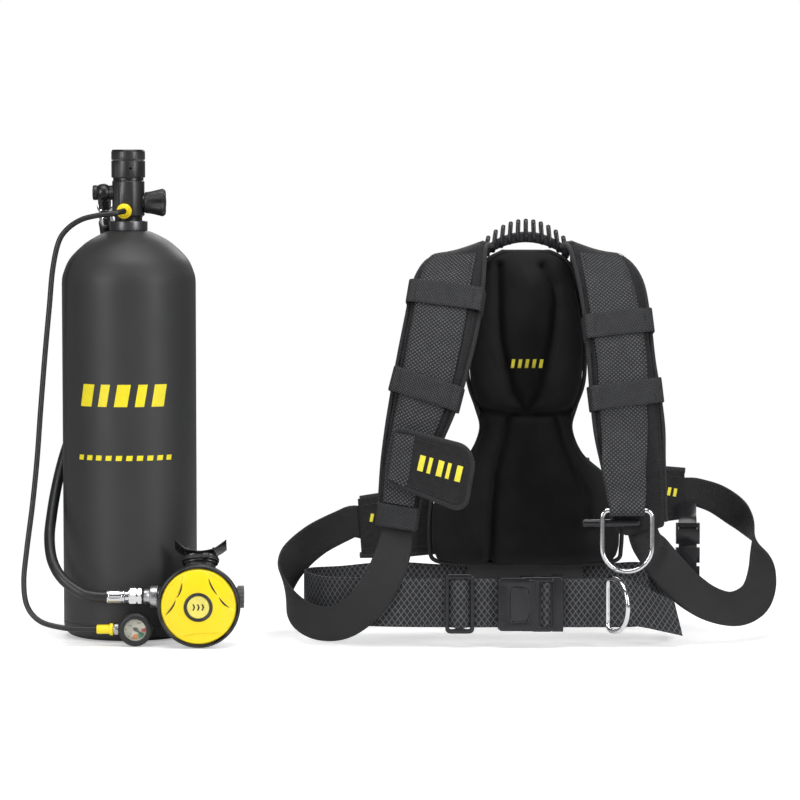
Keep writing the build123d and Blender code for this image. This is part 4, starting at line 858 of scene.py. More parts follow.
# ---------------------------------------------------------------------------
# Hoses: (x, y, z) along the centre lines, from the valve to the regulator or gauge
# ---------------------------------------------------------------------------
AIR_HOSE = [
    (-25.8, 25.5, 438.9), (-25.9, 40.0, 424.6), (-27.2, 58.0, 407.5), (-30.0, 70.6, 382.0),
    (-34.0, 72.6, 350.0), (-40.0, 69.8, 310.0), (-48.0, 64.4, 270.0), (-57.6, 56.0, 235.0),
    (-66.6, 44.5, 205.0), (-74.0, 29.0, 178.0), (-78.6, 8.0, 152.0), (-81.0, -15.0, 127.0),
    (-81.2, -38.0, 105.0), (-76.0, -60.0, 84.0), (-64.0, -75.0, 67.0), (-45.0, -83.0, 54.2),
    (-32.0, -84.8, 50.6), (-21.0, -85.0, 50.0), (-9.0, -85.0, 50.0), (-1.2, -85.0, 50.0),
]
GAUGE_HOSE = [
    (-3.0, -21.2, 445.2), (-3.0, -28.0, 445.2), (-3.3, -31.0, 445.2), (-6.4, -38.0, 444.6),
    (-12.5, -42.5, 443.0), (-30.0, -44.0, 441.0), (-46.0, -44.0, 436.6),
    (-60.0, -45.0, 427.0), (-69.0, -46.0, 413.0), (-75.0, -47.0, 385.0),
    (-78.6, -48.0, 347.0), (-83.0, -50.0, 300.0), (-87.8, -54.0, 240.0),
    (-91.4, -57.5, 190.0), (-96.0, -62.0, 143.0), (-101.6, -68.0, 97.0),
    (-104.2, -75.0, 64.0), (-100.0, -83.0, 40.0), (-86.0, -89.0, 25.0),
    (-62.0, -92.0, 18.6), (-42.0, -92.0, 17.4), (-30.0, GAUGE_Y, GAUGE_Z),
    (-21.0, GAUGE_Y, GAUGE_Z), (-12.2, GAUGE_Y, GAUGE_Z),
]
ELBOW = (-25.8, 0.0, 464.4)
ELBOW_OUT = Vector((0, math.sqrt(0.5), -math.sqrt(0.5)))     # back and down at 45 degrees

tube("air_hose", catmull(AIR_HOSE, 9), 5.65, "rubber_hose", CYLINDER, 36, replaces="lp_hose")
tube("gauge_hose", catmull(GAUGE_HOSE, 10), 2.8, "rubber_hose", CYLINDER, 24,
     replaces="gauge_line")


def boot_radius(t):
    """Tapers along the boot, with ribs after the first tenth."""
    return lerp(8.4, 6.6, t) - (0.6 if int(t * 16) % 2 and t > 0.1 else 0.0)


boot_points = [Vector(AIR_HOSE[0]) + ELBOW_OUT * 9.0, AIR_HOSE[1], (-26.4, 49.0, 416.2),
               AIR_HOSE[2]]
tube("hose_boot", catmull(boot_points, 14), boot_radius, "rubber_soft", CYLINDER, 36,
     replaces="lp_hose_boot")


def hexagon(across_flats):
    def wave(a, r, h):
        k = (a % (math.pi / 3)) - math.pi / 6
        return min(1.0, (across_flats / 2) / math.cos(k) / r)
    return wave


def knurl(a, r, h):
    return 1.0 + (0.012 * math.cos(44 * a) if 11.0 < r and 28.2 < h < 34.2 else 0.0)


def flutes(a, r, h):
    return 1.0 - (0.055 * (0.5 + 0.5 * math.cos(8 * a)) ** 2 if -14.6 < h < -3.2 else 0.0)


# swivel nut with wrench flats and turned shoulders
lathe("swivel_nut", [
    (4.75, 4.8), (7.6, 4.8), (8.3, 5.3), (9.5, 6.6), (9.6, 7.4), (9.6, 12.4), (9.5, 12.7),
    (8.7, 13.1), (8.7, 14.3), (9.5, 14.7), (9.6, 15.2), (9.6, 17.0), (9.2, 18.0),
    (8.4, 18.6), (4.75, 18.6), (4.75, 4.8),
], INLET, (1, 0, 0), "chrome", REGULATOR, n=120, wave=hexagon(16.8),
    replaces="lp_swivel_nut")
lathe("coupling_ring", [
    (10.2, 27.2), (10.9, 27.6), (11.42, 28.2), (11.42, 28.6), (11.42, 34.0), (11.4, 34.4),
    (10.9, 35.0), (10.0, 35.25), (7.4, 35.3),
], INLET, (1, 0, 0), "knurled_metal", REGULATOR, n=264, wave=knurl)
# crimped hose ends: fluted ferrule at the regulator, hexagon and ferrule at the elbow
lathe("ferrule_regulator_end", [
    (5.75, -17.4), (6.75, -17.3), (7.1, -17.0), (7.15, -15.6), (6.85, -15.1),
    (6.85, -14.6), (6.85, -14.2), (6.85, -3.6), (6.85, -3.2), (6.85, -2.4), (6.5, -2.1),
    (6.5, -1.5), (7.2, -1.1), (7.3, 0.4), (6.9, 1.1), (6.2, 1.6), (6.2, 4.6), (4.7, 4.7),
], INLET, (1, 0, 0), "chrome", CYLINDER, wave=flutes, replaces="lp_hose_crimps")
lathe("hex_elbow_end", [
    (4.5, 18.9), (7.4, 18.95), (8.3, 19.7), (8.5, 20.2), (8.5, 24.0), (8.3, 24.6),
    (7.5, 25.3), (6.2, 25.5),
], ELBOW, ELBOW_OUT, "chrome", CYLINDER, n=120, wave=hexagon(15.2))
lathe("ferrule_elbow_end", [
    (6.2, 25.3), (6.6, 25.6), (6.7, 26.4), (6.35, 26.9), (6.35, 27.5), (6.7, 28.0),
    (6.7, 30.6), (6.35, 31.0), (6.35, 31.6), (6.7, 32.0), (6.9, 34.5), (7.2, 36.5),
    (7.2, 41.0), (6.8, 41.6), (6.8, 42.2), (7.2, 42.8), (7.2, 46.0), (6.7, 46.8),
    (5.8, 47.0),
], ELBOW, ELBOW_OUT, "chrome", CYLINDER, n=96)

# ---------------------------------------------------------------------------
# Demand regulator: x and z are measured from the axis of its cover
# ---------------------------------------------------------------------------
COVER_IN, COVER_OUT = 14.9, 38.85              # radii of the cover's hole and edge

# (x, z) up the left and right borders of the cover's raised middle
LEFT_BORDER = ((-40.0, -14.5), (-33.7, -8.6), (-27.4, -1.2), (-23.1, 7.0), (-21.6, 9.9),
               (-18.4, 17.2), (-16.9, 24.9), (-14.5, 31.5), (-12.5, 37.0))
RIGHT_BORDER = ((40.0, -6.0), (32.2, -1.0), (25.9, 4.0), (21.2, 10.4), (19.4, 12.8),
                (14.3, 20.8), (10.9, 29.6), (8.9, 34.0), (7.6, 38.0))
# (x, z) of each slot's start, middle and end
SLOTS = (
    ((-16.5, 24.9), (-18.0, 17.2), (-21.6, 9.9)), ((-23.1, 7.3), (-27.2, -0.9), (-33.7, -8.1)),
    ((10.6, 29.6), (14.0, 20.8), (19.4, 12.8)), ((21.2, 10.6), (25.6, 4.2), (31.8, -0.4)),
)


def border_x(z, border):
    if z <= border[0][1]:
        return border[0][0] * 2
    for (x0, z0), (x1, z1) in zip(border, border[1:]):
        if z <= z1:
            return lerp(x0, x1, (z - z0) / (z1 - z0))
    return border[-1][0]


def crease(x, z):
    """Depth of the three scooped facets in the cover, 0 on the high ground."""
    bottom = -26.1 - (0.0046 if x < 12 else 0.0010) * (x - 12) ** 2
    depth = 0.0
    for q in ((border_x(z, LEFT_BORDER) - x) * 0.86, (x - border_x(z, RIGHT_BORDER)) * 0.86,
              bottom - z):
        if q > 0:
            depth = max(depth, min(1.0, q / 1.5) ** 0.8 * (1.0 - min(1.0, q / 22.0)))
    return depth


def cover_y(r, x, z):
    y = -116.6 + 4.6 * clamp((r - 14.0) / 25.0) ** 2.1
    if r > 36.6:
        y += 2.6 * ((r - 36.6) / 2.3) ** 2
    return y + 1.7 * crease(x, z) * clamp((37.6 - r) / 3.5) * clamp((r - 15.4) / 3.0)


def front_cover():
    rings, n = 62, 360
    around = circle(n)
    verts, faces = [], []
    for i in range(rings + 1):
        r = COVER_IN + (COVER_OUT - COVER_IN) * i / rings
        for ca, sa in around:
            x, z = r * ca, r * sa
            verts.append((REG_X + x, cover_y(r, x, z), REG_Z + z))
    for i in range(rings):
        a, b = i * n, (i + 1) * n
        for j in range(n):
            k = (j + 1) % n
            faces.append((a + j, a + k, b + k, b + j))
    # inner and outer returns, and the back
    rim, base = rings * n, len(verts)
    for r, y in ((COVER_IN, -113.8), (COVER_OUT, -105.3)):
        verts += [(REG_X + r * ca, y, REG_Z + r * sa) for ca, sa in around]
    for j in range(n):
        k = (j + 1) % n
        faces.append((base + k, k, j, base + j))
        faces.append((rim + k, base + n + k, base + n + j, rim + j))
        faces.append((base + j, base + n + j, base + n + k, base + k))
    ob = add_mesh("front_cover_dome", verts, faces, "yellow_plastic", REGULATOR, 60.0,
                  replaces="front_cover")
    # a spare second slot: every face uses the first
    ob.data.materials.append(MATERIALS["dial_black"])


def slot_shade_sheet(name, start, middle_point, end):
    """Long lens-shaped dark sheet standing just proud of the cover: painted shade inside one of its slots."""
    start, end = Vector(start), Vector(end)
    control = Vector(middle_point) * 2 - (start + end) / 2
    verts, faces = [], []
    for i in range(33):
        t = i / 32
        q = bezier(start, control, end, t)
        along = (control - start).lerp(end - control, t).normalized()
        side = Vector((-along.y, along.x))
        half = 0.08 + 0.78 * math.sin(math.pi * t) ** 0.8
        for e in (-1, 1):
            w = q + side * (half * e)
            y = min(cover_y(math.hypot(w.x + dx, w.y + dz), w.x + dx, w.y + dz)
                    for dx in (-0.8, 0, 0.8) for dz in (-0.6, 0.6))
            verts.append((REG_X + w.x, y - 0.12, REG_Z + w.y))
        for e in (1, -1):
            w = q + side * (half * 0.55 * e)
            y = cover_y(math.hypot(w.x, w.y), w.x, w.y)
            verts.append((REG_X + w.x, y + 0.45, REG_Z + w.y))
    for i in range(0, 128, 4):
        for j in range(4):
            k = (j + 1) % 4
            faces.append((i + j, i + k, i + 4 + k, i + 4 + j))
    faces += [(0, 1, 2, 3), (131, 130, 129, 128)]
    # the black is painted shade of the slot's opening; the cover under it is not cut
    add_mesh(name, verts, faces, "dial_black", REGULATOR, 60.0, slot="yellow_plastic")


front_cover()
# painted shade in each of the cover's slots
for k, points in enumerate(SLOTS):
    slot_shade_sheet("cover_slot_%d" % k, *points)

# the button: a pale disc with three chevrons
lathe("purge_face", [
    (3.0, -102.5), (3.05, -113.9), (11.5, -113.9), (11.78, -114.3), (11.8, -115.6),
    (11.6, -116.2), (11.1, -116.6), (10.6, -116.7), (10.3, -116.55), (0, -116.6),
], (REG_X, 0, REG_Z), (0, 1, 0), "yellow_label", "purge", n=96, replaces="purge_button")
chevrons = [
    [(cx - 1.4, -3.2), (cx + 0.2, -3.2), (cx + 1.6, 0.0), (cx + 0.2, 3.2), (cx - 1.4, 3.2),
     (cx, 0.0)]
    for cx in (-4.6 + i * 4.6 for i in range(3))
]
plate("purge_mark", chevrons, 0.3, 0.05, facing_front(REG_X, -116.62, REG_Z), "dial_black",
      "purge", 1, slot="yellow_plastic")

# Mouthpiece: its axis rises towards the back, 28 degrees off the vertical
MOUTH_AXIS = Vector((0.0, math.sin(math.radians(28)), math.cos(math.radians(28))))
MOUTH_SIDE = Vector((0, MOUTH_AXIS.z, -MOUTH_AXIS.y))
MOUTH_BASE = Vector((REG_X, -84.0, 68.0))

# (height along the axis, half width, half depth); above 24.5 the heights are halved
MOUTH_TUBE = (
    (16.2, 18.0, 11.4), (16.6, 18.4, 11.8), (18.2, 18.4, 11.8), (18.8, 18.0, 11.4),
    (22.9, 18.0, 11.4), (23.4, 18.5, 11.9), (24.4, 18.5, 11.9), (25.6, 17.6, 11.0),
    (28.0, 16.2, 9.8), (30.5, 15.6, 9.2), (30.5, 12.6, 6.6), (24.0, 12.4, 6.4),
    (20.0, 12.4, 6.4),
)


def mouth(x, side, height):
    return MOUTH_BASE + Vector((x, 0, 0)) + MOUTH_SIDE * side + MOUTH_AXIS * height


rings = []
for h, half_width, half_depth in MOUTH_TUBE:
    h = h if h < 24.5 else 24.5 + (h - 24.5) * 0.5
    rings.append([mouth(half_width * ca, half_depth * sa, h) for ca, sa in circle(64)])
skin("mouth_tube", rings, "silicone_black", REGULATOR, cap=False, angle=50)


def mouth_wing():
    """Curved oval wing with an oval hole; both ends rise, their corners drawn into horns."""
    nu, nv = 64, 28
    top, bottom, hole = [], [], []
    for i in range(nu + 1):
        u = -1 + 2 * i / nu
        x, au = 26.8 * u, abs(u)
        half = 12.8 * (1 - 0.22 * au ** 4) * (0.84 + 0.16 * (1 - u * u))
        for j in range(nv + 1):
            v = -1 + 2 * j / nv
            side = half * v
            h = 25.0 + 9.5 * au ** 1.8 + 1.2 * v * v
            h += 5.0 * max(0.0, au - 0.55) / 0.45 * (0.5 - 0.5 * v)
            thick = 1.25 * (1 - 0.5 * au ** 6) * (1 - 0.45 * abs(v) ** 6)
            top.append(mouth(x, side, h + thick))
            bottom.append(mouth(x, side, h - thick))
            hole.append(math.hypot(x / 12.6, side / 6.6) < 1.05)
    n, row = len(top), nv + 1
    faces, edges = [], {}
    for i in range(nu):
        for j in range(nv):
            a, b = i * row + j, (i + 1) * row + j
            quad = (a, b, b + 1, a + 1)
            if all(hole[k] for k in quad):
                continue
            faces.append(quad)
            faces.append(tuple(n + k for k in reversed(quad)))
            edges.update(dict.fromkeys(zip(quad, quad[1:] + quad[:1])))
    # walls along the edges that only one quad uses
    for a, b in edges:
        if (b, a) not in edges:
            faces.append((b, a, n + a, n + b))
    wing = add_mesh("mouth_wing", top + bottom, faces, "silicone_black", REGULATOR, 60.0,
                    replaces="mouthpiece")
    soft = wing.modifiers.new("soft", "SUBSURF")
    soft.levels = soft.render_levels = 1


mouth_wing()
for sign, side_name in ((-1, "left"), (1, "right")):
    rings = []
    for i in range(13):
        s = i / 12
        half = 5.2 * math.sin(math.pi * min(1.0, 0.25 + s * 0.75)) ** 0.5 + 0.4
        thick = 1.5 * (1 - 0.35 * s) + (1.1 if s > 0.8 else 0)
        rings.append([mouth(sign * (15.0 - 1.0 * s) + thick * ca, half * sa, 27.0 + 8.0 * s)
                      for ca, sa in circle(24)])
    skin("bite_lug_" + side_name, rings, "silicone_black", REGULATOR, angle=60)

# ---------------------------------------------------------------------------
# Gauge face
# ---------------------------------------------------------------------------
GAUGE = (GAUGE_X, GAUGE_Y, GAUGE_Z)
DIAL_FRONT_Y = GAUGE_Y + 0.36
dial_front = facing_front(GAUGE_X, DIAL_FRONT_Y, GAUGE_Z)


def arc_patch(r0, r1, start, end, n=14):
    """Part of a ring between two radii and two angles in degrees."""
    def arc(r, a, b):
        angles = [math.radians(lerp(a, b, i / n)) for i in range(n + 1)]
        return [(r * math.cos(t), r * math.sin(t)) for t in angles]
    return arc(r1, start, end) + arc(r0, end, start)


lathe("dial_plate", [(1.4, 0.55), (1.4, 1.05), (12.25, 1.05), (12.25, 0.5), (11.6, 0.42),
                     (1.4, 0.42)],
      GAUGE, (0, 1, 0), "dial_cream", "gauge", n=96, replaces="gauge_dial")
for colour, inner, start, end in (("orange", 5.2, -76, -112), ("green", 5.2, -24, -72),
                                  ("red", 6.0, 6, -20)):
    plate("dial_zone_" + colour, [arc_patch(inner, 10.4, start, end)], 0.14, 0.03, dial_front,
          "dial_" + colour, "gauge", 1)

ticks = []
for i in range(31):
    a = math.radians(225 - i * 9)
    ca, sa = math.cos(a), math.sin(a)
    r0, w = (9.1, 0.22) if i % 5 == 0 else (10.3, 0.12)
    r1 = 11.3
    ticks.append([(r0 * ca - w * sa, r0 * sa + w * ca), (r1 * ca - w * sa, r1 * sa + w * ca),
                  (r1 * ca + w * sa, r1 * sa - w * ca), (r0 * ca + w * sa, r0 * sa - w * ca)])
plate("dial_ticks", ticks, 0.16, 0.02, dial_front, "dial_black", "gauge", 1)

for text, degrees in (("0", 225), ("100", 150), ("200", 62)):
    a = math.radians(degrees)
    font = bpy.data.curves.new("dial_number_" + text, "FONT")
    font.body = text
    font.size = 3.0 * M
    font.extrude = 0.05 * M
    font.align_x = font.align_y = "CENTER"
    mesh = mesh_of_curve(font, "t")
    place = facing_front(GAUGE_X + 7.0 * math.cos(a), DIAL_FRONT_Y, GAUGE_Z + 7.0 * math.sin(a))
    for v in mesh.vertices:
        v.co = (place @ (v.co / M)) * M
    mesh.materials.clear()
    add_object("dial_number_" + text, mesh, "dial_black", "gauge")
lathe("dial_hub", [(0, -2.35), (1.3, -2.3), (1.9, -2.1), (2.1, -1.75), (2.1, -1.7)],
      GAUGE, (0, 1, 0), "gloss_black_plastic", "needle", n=40, slot="needle")
lathe("gauge_rim", [(12.35, -6.2), (12.2, -6.9), (11.6, -7.3), (11.35, -7.0), (11.4, -6.3)],
      GAUGE, (0, 1, 0), "gloss_black_plastic", "gauge", n=96, slot="rubber")


# ---------------------------------------------------------------------------
# Soft goods helpers
# ---------------------------------------------------------------------------
def wrinkle(x, y, z, amount):
    """Soft uneven swell of stuffed fabric."""
    return amount * (
        math.sin(x * 0.13 + z * 0.041 + 1.3) * math.sin(z * 0.083 - x * 0.05)
        + 0.6 * math.sin(z * 0.21 + x * 0.17 + y * 0.1) * math.sin(x * 0.29 - 0.7))


def cloth_positions(ob, pressure, frames=20):
    """Vertex places after the shell has swollen as cloth."""
    cloth = ob.modifiers.new("cloth", "CLOTH")
    settings = cloth.settings
    settings.quality = 6
    settings.mass = 0.25
    settings.tension_stiffness = settings.compression_stiffness = 12
    settings.shear_stiffness = 6
    settings.bending_stiffness = 1.2
    settings.tension_damping = settings.compression_damping = 12
    settings.use_pressure = True
    settings.uniform_pressure_force = pressure
    settings.effector_weights.gravity = 0
    settings.shrink_min = -0.02
    cloth.collision_settings.use_collision = False
    cloth.collision_settings.use_self_collision = False
    cloth.point_cache.frame_start, cloth.point_cache.frame_end = 1, frames
    scene = bpy.context.scene
    for f in range(1, frames + 1):
        scene.frame_set(f)
    evaluated = ob.evaluated_get(bpy.context.evaluated_depsgraph_get())
    places = [v.co.copy() for v in evaluated.to_mesh().vertices]
    evaluated.to_mesh_clear()
    ob.modifiers.remove(cloth)
    scene.frame_set(1)
    return places


def inflate(ob, voxel, pressure, limit, outward):
    """Remeshes and swells a shell; only the swell along outward(point) is kept."""
    remesh = ob.modifiers.new("remesh", "REMESH")
    remesh.mode = "VOXEL"
    remesh.voxel_size = voxel * M
    depsgraph = bpy.context.evaluated_depsgraph_get()
    mesh = bpy.data.meshes.new_from_object(ob.evaluated_get(depsgraph))
    ob.modifiers.remove(remesh)
    materials = list(ob.data.materials)
    mesh.materials.clear()
    for material in materials:
        mesh.materials.append(material)
    ob.data = mesh
    rest = [v.co.copy() for v in mesh.vertices]
    swollen = cloth_positions(ob, pressure)
    ways = [Vector(outward(q / M)) for q in rest]
    amounts = [max(-limit * M, min(limit * M, (s - q).dot(way)))
               for q, s, way in zip(rest, swollen, ways)]
    near = [[] for _ in rest]
    for edge in mesh.edges:
        i, j = edge.vertices
        near[i].append(j)
        near[j].append(i)
    for _ in range(3):
        amounts = [0.5 * x + 0.5 * sum(amounts[j] for j in nb) / len(nb)
                   for x, nb in zip(amounts, near)]
    for v, q, x, way in zip(mesh.vertices, rest, amounts, ways):
        v.co = q + way * x
    # the remesh leaves steps; ease them along the same direction
    for _ in range(3):
        now = [v.co.copy() for v in mesh.vertices]
        for i, v in enumerate(mesh.vertices):
            average = sum((now[j] for j in near[i]), Vector()) / len(near[i])
            v.co = now[i] + ways[i] * ((average - now[i]).dot(ways[i]) * 0.6)


def puff(ob, voxel, pressure, limit, shape, outward):
    """Swells a closed shell, subdivides it and moves each point by shape(point)."""
    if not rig.quick():
        inflate(ob, voxel, pressure, limit, outward)
    sub = ob.modifiers.new("sub", "SUBSURF")
    sub.levels = sub.render_levels = 1
    depsgraph = bpy.context.evaluated_depsgraph_get()
    fine = bpy.data.meshes.new_from_object(ob.evaluated_get(depsgraph))
    ob.modifiers.remove(sub)
    ob.data = fine
    for v in fine.vertices:
        v.co = Vector(shape(v.co / M)) * M
    fine.shade_smooth()


def stitches(name, points, normals, body=HARNESS, pitch=3.6, length=2.5):
    """A row of thread stitches along points lying on a surface."""
    radius = 0.32
    points = [Vector(p) for p in points]
    normals = [Vector(n).normalized() for n in normals]
    runs = [0.0]
    for a, b in zip(points, points[1:]):
        runs.append(runs[-1] + (b - a).length)

    def at(s):
        k = 0
        while k < len(runs) - 2 and runs[k + 1] < s:
            k += 1
        t = (s - runs[k]) / max(1e-6, runs[k + 1] - runs[k])
        return (points[k].lerp(points[k + 1], t),
                normals[k].lerp(normals[k + 1], t).normalized())

    verts, faces = [], []
    s = 0.4
    while s + length < runs[-1]:
        base = len(verts)
        # (place along the stitch, thickness)
        for q, k in ((0.0, 0.25), (0.16, 0.85), (0.5, 1.15), (0.84, 0.85), (1.0, 0.25)):
            centre, normal = at(s + q * length)
            after, _ = at(s + min(1.0, q + 0.05) * length)
            before, _ = at(s + max(0.0, q - 0.05) * length)
            side = (after - before).normalized().cross(normal).normalized()
            lift = radius * (0.9 if 0.1 < q < 0.9 else -0.4)
            for ca, sa in circle(6):
                verts.append(centre + side * (radius * k * ca)
                             + normal * (radius * k * sa + lift))
        for i in range(4):
            for j in range(6):
                a, b = base + i * 6 + j, base + i * 6 + (j + 1) % 6
                faces.append((a, b, b + 6, a + 6))
        faces.append(tuple(base + 5 - j for j in range(6)))
        faces.append(tuple(base + 24 + j for j in range(6)))
        s += pitch
    add_mesh(name, verts, faces, "seam_thread", body, 80.0)


def pillow(name, poly, thick, edge, place, look, body, bend, bulge, **told):
    """Stuffed flat piece from a star-shaped outline: rounded edge, domed faces."""
    inner = 12
    outline = densify(poly, 2.5)
    centre = sum(outline, Vector((0, 0))) / len(outline)
    mean = sum((p - centre).length for p in outline) / len(outline)
    m = len(outline)
    quarter = [math.pi / 2 * i / 4 for i in range(5)]
    scales = [1.0 - (edge / mean) * (1 - math.cos(a)) for a in quarter]
    scales += [scales[-1] * (1 - i / inner) for i in range(1, inner)]
    heights = [math.sin(a) for a in quarter]
    heights += [1.0 + bulge * math.sin(math.pi / 2 * i / inner) for i in range(1, inner)]

    def put(p, h):
        return place @ Vector(bend(Vector((p.x, p.y, h))))

    verts, faces, rims = [], [], []
    for sign in (1, -1):
        rows = []
        for s, h in zip(scales, heights):
            rows.append(range(len(verts), len(verts) + m))
            verts += [put(centre + (p - centre) * s, sign * h * thick / 2) for p in outline]
        tip = len(verts)
        verts.append(put(centre, sign * (1 + bulge) * thick / 2))
        for r0, r1 in zip(rows, rows[1:]):
            for j in range(m):
                a, b = (j, (j + 1) % m)[::sign]
                faces.append((r0[a], r0[b], r1[b], r1[a]))
        for j in range(m):
            a, b = (j, (j + 1) % m)[::sign]
            faces.append((rows[-1][a], rows[-1][b], tip))
        rims.append(rows[0])
    for j in range(m):
        k = (j + 1) % m
        faces.append((rims[0][k], rims[0][j], rims[1][j], rims[1][k]))
    return add_mesh(name, verts, faces, look, body, 60.0, **told)


# ---------------------------------------------------------------------------
# Back pad
# ---------------------------------------------------------------------------
# (z, half width) down the pad
PAD_OUTLINE = [
    (402.0, 20.0), (401, 27), (390, 44), (366, 53), (330, 60), (290, 62), (262, 60),
    (238, 52), (215, 47), (188, 58), (168, 80), (150, 96), (125, 101), (90, 101), (75, 95),
    (71, 60), (71.0, 55.0),
]
# (x, z) along each sunk channel in the pad's front
CHANNELS = [
    [(387.8, 387), (387.8, 350), (389, 312.7), (402, 256), (418, 233)],
    [(434, 387), (446, 366), (448, 345), (444.6, 312.7), (432, 256), (418, 233)],
    [(370, 236), (394, 232), (418, 231), (446, 232), (476, 236)],
    [(398, 231), (393, 205), (384, 171), (380, 120), (379, 75)],
    [(448, 231), (455, 205), (470, 170), (483.6, 142.5), (487, 110)],
]


def half_width_at(z):
    for (z0, w0), (z1, w1) in zip(PAD_OUTLINE, PAD_OUTLINE[1:]):
        if z1 <= z <= z0:
            return lerp(w1, w0, (z - z1) / (z0 - z1))


def distance_to(x, z, line):
    best = 1e9
    for (ax, az), (bx, bz) in zip(line, line[1:]):
        dx, dz = bx - ax, bz - az
        t = clamp(((x - ax) * dx + (z - az) * dz) / (dx * dx + dz * dz))
        best = min(best, math.hypot(x - ax - t * dx, z - az - t * dz))
    return best


def pad_shape(p):
    """Sinks the channels and the spine hollow into the front."""
    x, y, z = p
    if y < 20:
        dip = 0.0
        for line in CHANNELS:
            d = distance_to(x, z, line)
            if d < 26:
                dip = max(dip, math.exp(-(d / 4.2) ** 2) * 7.4
                          + 2.2 * math.exp(-(d / 12.0) ** 2))
        # spine hollow below the waist
        dip += 1.8 * math.exp(-((x - 418) / 22.0) ** 2) * clamp((225 - z) / 60)
        y += dip + wrinkle(x, y, z, 0.55)
    return (x, min(max(y, 4.0), 33.5), z)


def back_cushion():
    nu, nz = 44, 84
    front, back = [], []
    for i in range(nz + 1):
        z = 72.0 + (401.4 - 72.0) * i / nz
        w = half_width_at(z)
        for j in range(nu + 1):
            u = -1 + 2 * j / nu
            u = math.copysign(abs(u) ** 0.85, u)
            x = u * (w - 0.5)
            d = min((1 - abs(u)) * w, (z - 71.5) * 0.9, (402 - z) * 0.9)
            f = math.sqrt(max(0.0, 1 - (1 - min(1.0, d / 13.0)) ** 2))
            front.append((PACK_X + x, 21.0 - 11.5 * f, z))
            back.append((PACK_X + x, 21.0 + 10.5 * f, z))
    n, row = len(front), nu + 1
    faces = []
    for i in range(nz):
        for j in range(nu):
            a = i * row + j
            faces.append((a, a + 1, a + row + 1, a + row))
            faces.append((n + a, n + a + row, n + a + row + 1, n + a + 1))
    rim = list(range(row)) + [i * row + nu for i in range(1, nz + 1)]
    rim += [nz * row + j for j in range(nu - 1, -1, -1)]
    rim += [i * row for i in range(nz - 1, 0, -1)]
    for a, b in zip(rim, rim[1:] + rim[:1]):
        faces.append((a, n + a, n + b, b))
    ob = add_mesh("back_cushion", front + back, faces, "pad_fabric", HARNESS, 70.0,
                  replaces="back_pad")
    puff(ob, voxel=4.5, pressure=4.5, limit=5.0, shape=pad_shape,
         outward=lambda p: (0, 1, 0))
    return ob


back_pad = back_cushion()
# corded edge round the pad
rim_points = [(PACK_X + (w + 0.2), 21.5, z) for z, w in PAD_OUTLINE]
rim_points += [(PACK_X - (w + 0.2), 21.5, z) for z, w in reversed(PAD_OUTLINE)]
tube("pad_piping", catmull(rim_points + rim_points[:1], 6)[:-1], 2.3, "binding", HARNESS, 14,
     closed=True, slot="webbing")


def pad_face_y(x, z):
    """Front of the finished back pad nearest a point."""
    front = [v.co for v in back_pad.data.vertices if v.co.y < 0.02]
    return min(front, key=lambda p: (p.x / M - x) ** 2 + (p.z / M - z) ** 2).y / M


# small embroidered row of slanted bars high on the pad
pad_bars = []
for i in range(5):
    cx = 402.5 + i * 7.4 - PACK_X
    pad_bars.append([(cx - 2.4, -4.6), (cx + 1.2, -4.6), (cx + 2.8, 4.6), (cx - 0.8, 4.6)])
mark_y = min(pad_face_y(x, 285) for x in (402, 410, 417, 425, 432))
plate("pad_mark", pad_bars, 0.9, 0.3, facing_front(PACK_X, mark_y - 0.1, 285.0),
      "yellow_thread", HARNESS, 1)

# ---------------------------------------------------------------------------
# Shoulder pads
# ---------------------------------------------------------------------------
PAD_STEPS = 12                                 # steps between two stations
PAD_END = 10 * PAD_STEPS

# (x, y, z, width) down each pad from the top
LEFT_PAD = [
    (364, 28, 399, 42), (353, 8, 401, 54), (342, -14, 393, 66), (334, -38, 368, 74),
    (327, -56, 330, 76), (318, -68, 290, 74), (309, -75, 254, 69), (299, -79, 220, 60),
    (290, -80, 186, 50), (283.5, -79, 146, 42), (281, -78, 128, 38),
]
RIGHT_PAD = [
    (470, 28, 399, 42), (481, 8, 401, 54), (493, -14, 393, 64), (503, -38, 368, 68),
    (508.5, -56, 330, 68), (512, -68, 290, 69), (516, -75, 254, 72), (520, -79, 220, 72),
    (524, -80, 186, 65), (529, -79, 146, 58), (535, -77, 116, 48),
]
# (station on the pad, sideways shift, width) of the webbing sewn on
LEFT_WEB = [(2, 0, 50), (3, -2, 54), (4, -2, 55), (5, -1, 54), (6, 0, 50), (7, 0, 44),
            (8, 0, 38), (9, 0, 32)]
RIGHT_WEB = [(2, -2, 48), (3, -4, 50), (4, -3, 52), (5, -1, 52), (6, -5, 50), (7, -7, 48)]
# (station, tilt) of the upper and lower cross bands
BANDS = {"left": ((3.35, 2.0), (5.75, 3.0)), "right": ((4.05, -2.0), (5.9, -1.0))}


